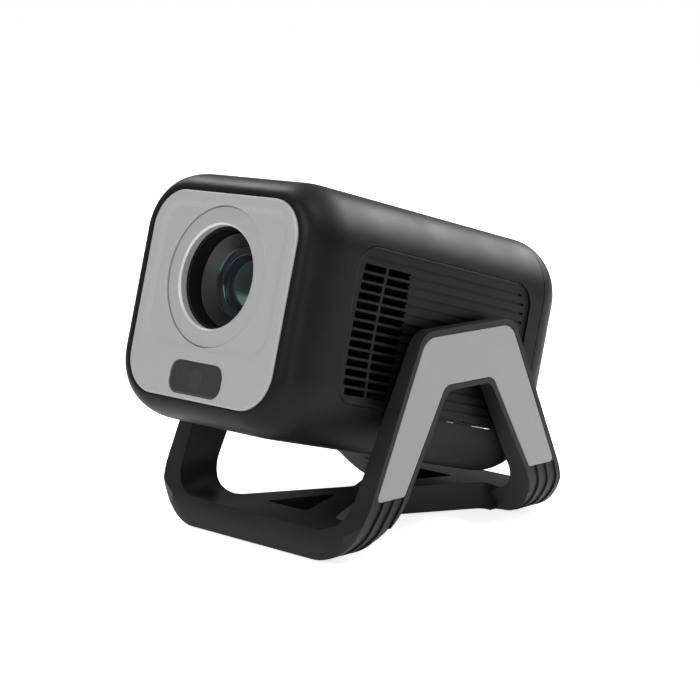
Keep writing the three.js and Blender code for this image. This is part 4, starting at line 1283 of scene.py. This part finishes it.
# ---------------------------------------------------------------- inside
class DressInside(bpy.types.Operator):
    """Gives every piece inside the housing the finish of its real material"""

    bl_idname = "projector.dress_inside"
    bl_label = "Inside"

    def execute(self, context):
        black = spark_textured_plastic("moulded_black_frame", linear("#141415"), 0.5)
        board = printed_board("solder_masked_board")
        fins = extruded_aluminium("extruded_heatsink")
        steel = drawn_steel("stamped_steel")
        acetal = natural_acetal("natural_acetal_gear")
        fresnel = coated_lens_glass("moulded_fresnel_sheet", 0.0)
        finishes = {
            black: ["fan_frame", "fan_rotor", "button_switch", "optical_box", "lens_mount"]
            + ["speaker_box_right", "speaker_box_left"],
            board: ["main_board", "power_board", "distance_sensor"],
            fins: ["heatsink", "reflector_cone", "processor_heat_spreader"],
            steel: ["focus_motor", "hinge_plate_right", "hinge_plate_left"]
            + ["friction_washer_right", "friction_washer_left"],
            acetal: ["focus_ring_gear", "focus_pinion"],
            fresnel: ["front_fresnel_lens", "rear_fresnel_lens"],
            display_glass("polarised_display_glass"): ["lcd_panel"],
            wound_tape("wound_polyester_tape"): ["power_transformer"],
            pressed_paper("pressed_paper_cone"): ["speaker_cone_right", "speaker_cone_left"],
            phosphor_resin("cast_phosphor"): ["led_module"],
        }
        for material, nodes in finishes.items():
            for name in nodes:
                materials = frame["nodes"][name].data.materials
                materials.clear()
                materials.append(material)
        return {"FINISHED"}


# ---------------------------------------------------------------- studio
VIEW_AZIMUTH = 45.204
VIEW_ELEVATION = 9.811
VIEW_ROLL = -0.053
VIEW_DISTANCE = 1.3156
VIEW_TARGET = Vector((-0.010694, PIVOT.y, 0.106374))
VIEW_LENS = 107.26
FLOOR_HALF = 60.0
FLOOR_SEEN = 0.8  # the floor's own glow as the camera sees it
FLOOR_CAST = 0.35  # the glow that it casts on the projector
AMBIENT = 0.22
AIM = (0, 0, 0.12)
LIGHTS = (  # name, place, width, height and watts
    ("front", (0.1, -1.9, 1.6), 1.3, 1.0, 33),
    ("strip", (1.9, -1.1, 0.6), 0.3, 1.4, 8),
    ("edge", (-1.5, 0.45, 1.6), 0.7, 0.7, 18),
    ("rear", (0.2, 2.1, 1.3), 1.8, 0.6, 48),
    ("top", (0.7, 0.2, 2.0), 0.7, 1.2, 17),
)


def view_axes():
    """Right, up and back of the camera."""
    azimuth, elevation = math.radians(VIEW_AZIMUTH), math.radians(VIEW_ELEVATION)
    back = Vector(
        (
            math.sin(azimuth) * math.cos(elevation),
            -math.cos(azimuth) * math.cos(elevation),
            math.sin(elevation),
        )
    )
    right = Vector((0, 0, 1)).cross(back).normalized()
    turn = Matrix.Rotation(math.radians(VIEW_ROLL), 3, back)
    right = turn @ right
    return right, back.cross(right), back


def soft_box(name, place, width, height, watts):
    """A large rectangular light that faces the middle of the projector."""
    light = bpy.data.lights.new(name, "AREA")
    light.shape = "RECTANGLE"
    light.size = width
    light.size_y = height
    light.energy = watts
    lamp = bpy.data.objects.new(name, light)
    lamp.location = place
    lamp.rotation_euler = (Vector(AIM) - Vector(place)).to_track_quat("-Z", "Y").to_euler()
    bpy.context.scene.collection.objects.link(lamp)


class BuildStage(bpy.types.Operator):
    """Builds the pale floor, the soft studio light and the camera"""

    bl_idname = "projector.build_stage"
    bl_label = "Studio"

    def execute(self, context):
        scene = context.scene
        rgb = scene.projector_finishes.floor
        matt = start("matt_painted_floor")
        paint = tint(matt, grain(matt, 400, 1.0), scaled_colour(rgb, 0.99), rgb)
        seen = add_node(matt, "ShaderNodeLightPath", {}, {}).outputs["Is Camera Ray"]
        glow = spread(matt, seen, FLOOR_CAST, FLOOR_SEEN, 0.0, 1.0)
        lit = {"Emission_Color": (1, 1, 1, 1), "Emission_Strength": glow}
        close(matt, paint, 0.85, Specular_IOR_Level=0.1, **lit)
        bm = bmesh.new()
        half = FLOOR_HALF
        corners = ((-half, -half, 0), (half, -half, 0), (half, half, 0), (-half, half, 0))
        bm.faces.new([bm.verts.new(corner) for corner in corners])
        make("floor", bm, Matrix.Identity(4), None, matt)

        world = bpy.data.worlds.new("studio")
        world.use_nodes = True
        world.node_tree.nodes.clear()
        sky = add_node(world, "ShaderNodeBackground", {}, {"Color": (1, 1, 1, 1), "Strength": AMBIENT})
        add_node(world, "ShaderNodeOutputWorld", {}, {"Surface": sky.outputs[0]})
        scene.world = world
        scene.view_settings.view_transform = "Standard"

        for light in LIGHTS:
            soft_box(*light)

        camera_data = bpy.data.cameras.new("camera")
        camera_data.lens = VIEW_LENS
        camera_data.sensor_width = 36
        camera_data.clip_start = 0.05
        camera_data.clip_end = 200
        camera = bpy.data.objects.new("camera", camera_data)
        right, up, back = view_axes()
        place = Matrix((right, up, back)).transposed().to_4x4()
        place.translation = VIEW_TARGET + back * VIEW_DISTANCE
        camera.matrix_world = place
        scene.collection.objects.link(camera)
        scene.camera = camera
        return {"FINISHED"}


# ---------------------------------------------------------------- add-on
BUILDERS = (
    BuildStage,
    BuildShell,
    BuildRearCover,
    BuildRearFittings,
    BuildPanel,
    BuildLens,
    BuildGrilles,
    BuildStand,
    DressInside,
)
SETTINGS = {
    "projector_housing": HousingSizes,
    "projector_grille": GrilleSizes,
    "projector_lens": LensSizes,
    "projector_stand": StandSizes,
    "projector_finishes": Finishes,
}


class ProjectorPanel(bpy.types.Panel):
    """Lists the projector's settings and the operators that build it"""

    bl_idname = "VIEW3D_PT_projector"
    bl_label = "Home projector"
    bl_space_type = "VIEW_3D"
    bl_region_type = "UI"
    bl_category = "Projector"

    def draw(self, context):
        for name, group in SETTINGS.items():
            box = self.layout.box()
            for setting in group.__annotations__:
                box.prop(getattr(context.scene, name), setting)
        for builder in BUILDERS:
            self.layout.operator(builder.bl_idname)


def register():
    for group in SETTINGS.values():
        bpy.utils.register_class(group)
    for name, group in SETTINGS.items():
        setattr(bpy.types.Scene, name, bpy.props.PointerProperty(type=group))
    for builder in BUILDERS:
        bpy.utils.register_class(builder)
    bpy.utils.register_class(ProjectorPanel)


def unregister():
    bpy.utils.unregister_class(ProjectorPanel)
    for builder in reversed(BUILDERS):
        bpy.utils.unregister_class(builder)
    for name in SETTINGS:
        delattr(bpy.types.Scene, name)
    for group in SETTINGS.values():
        bpy.utils.unregister_class(group)


def main():
    register()
    for builder in BUILDERS:
        group, name = builder.bl_idname.split(".")
        getattr(getattr(bpy.ops, group), name)()


if __name__ == "__main__":
    main()
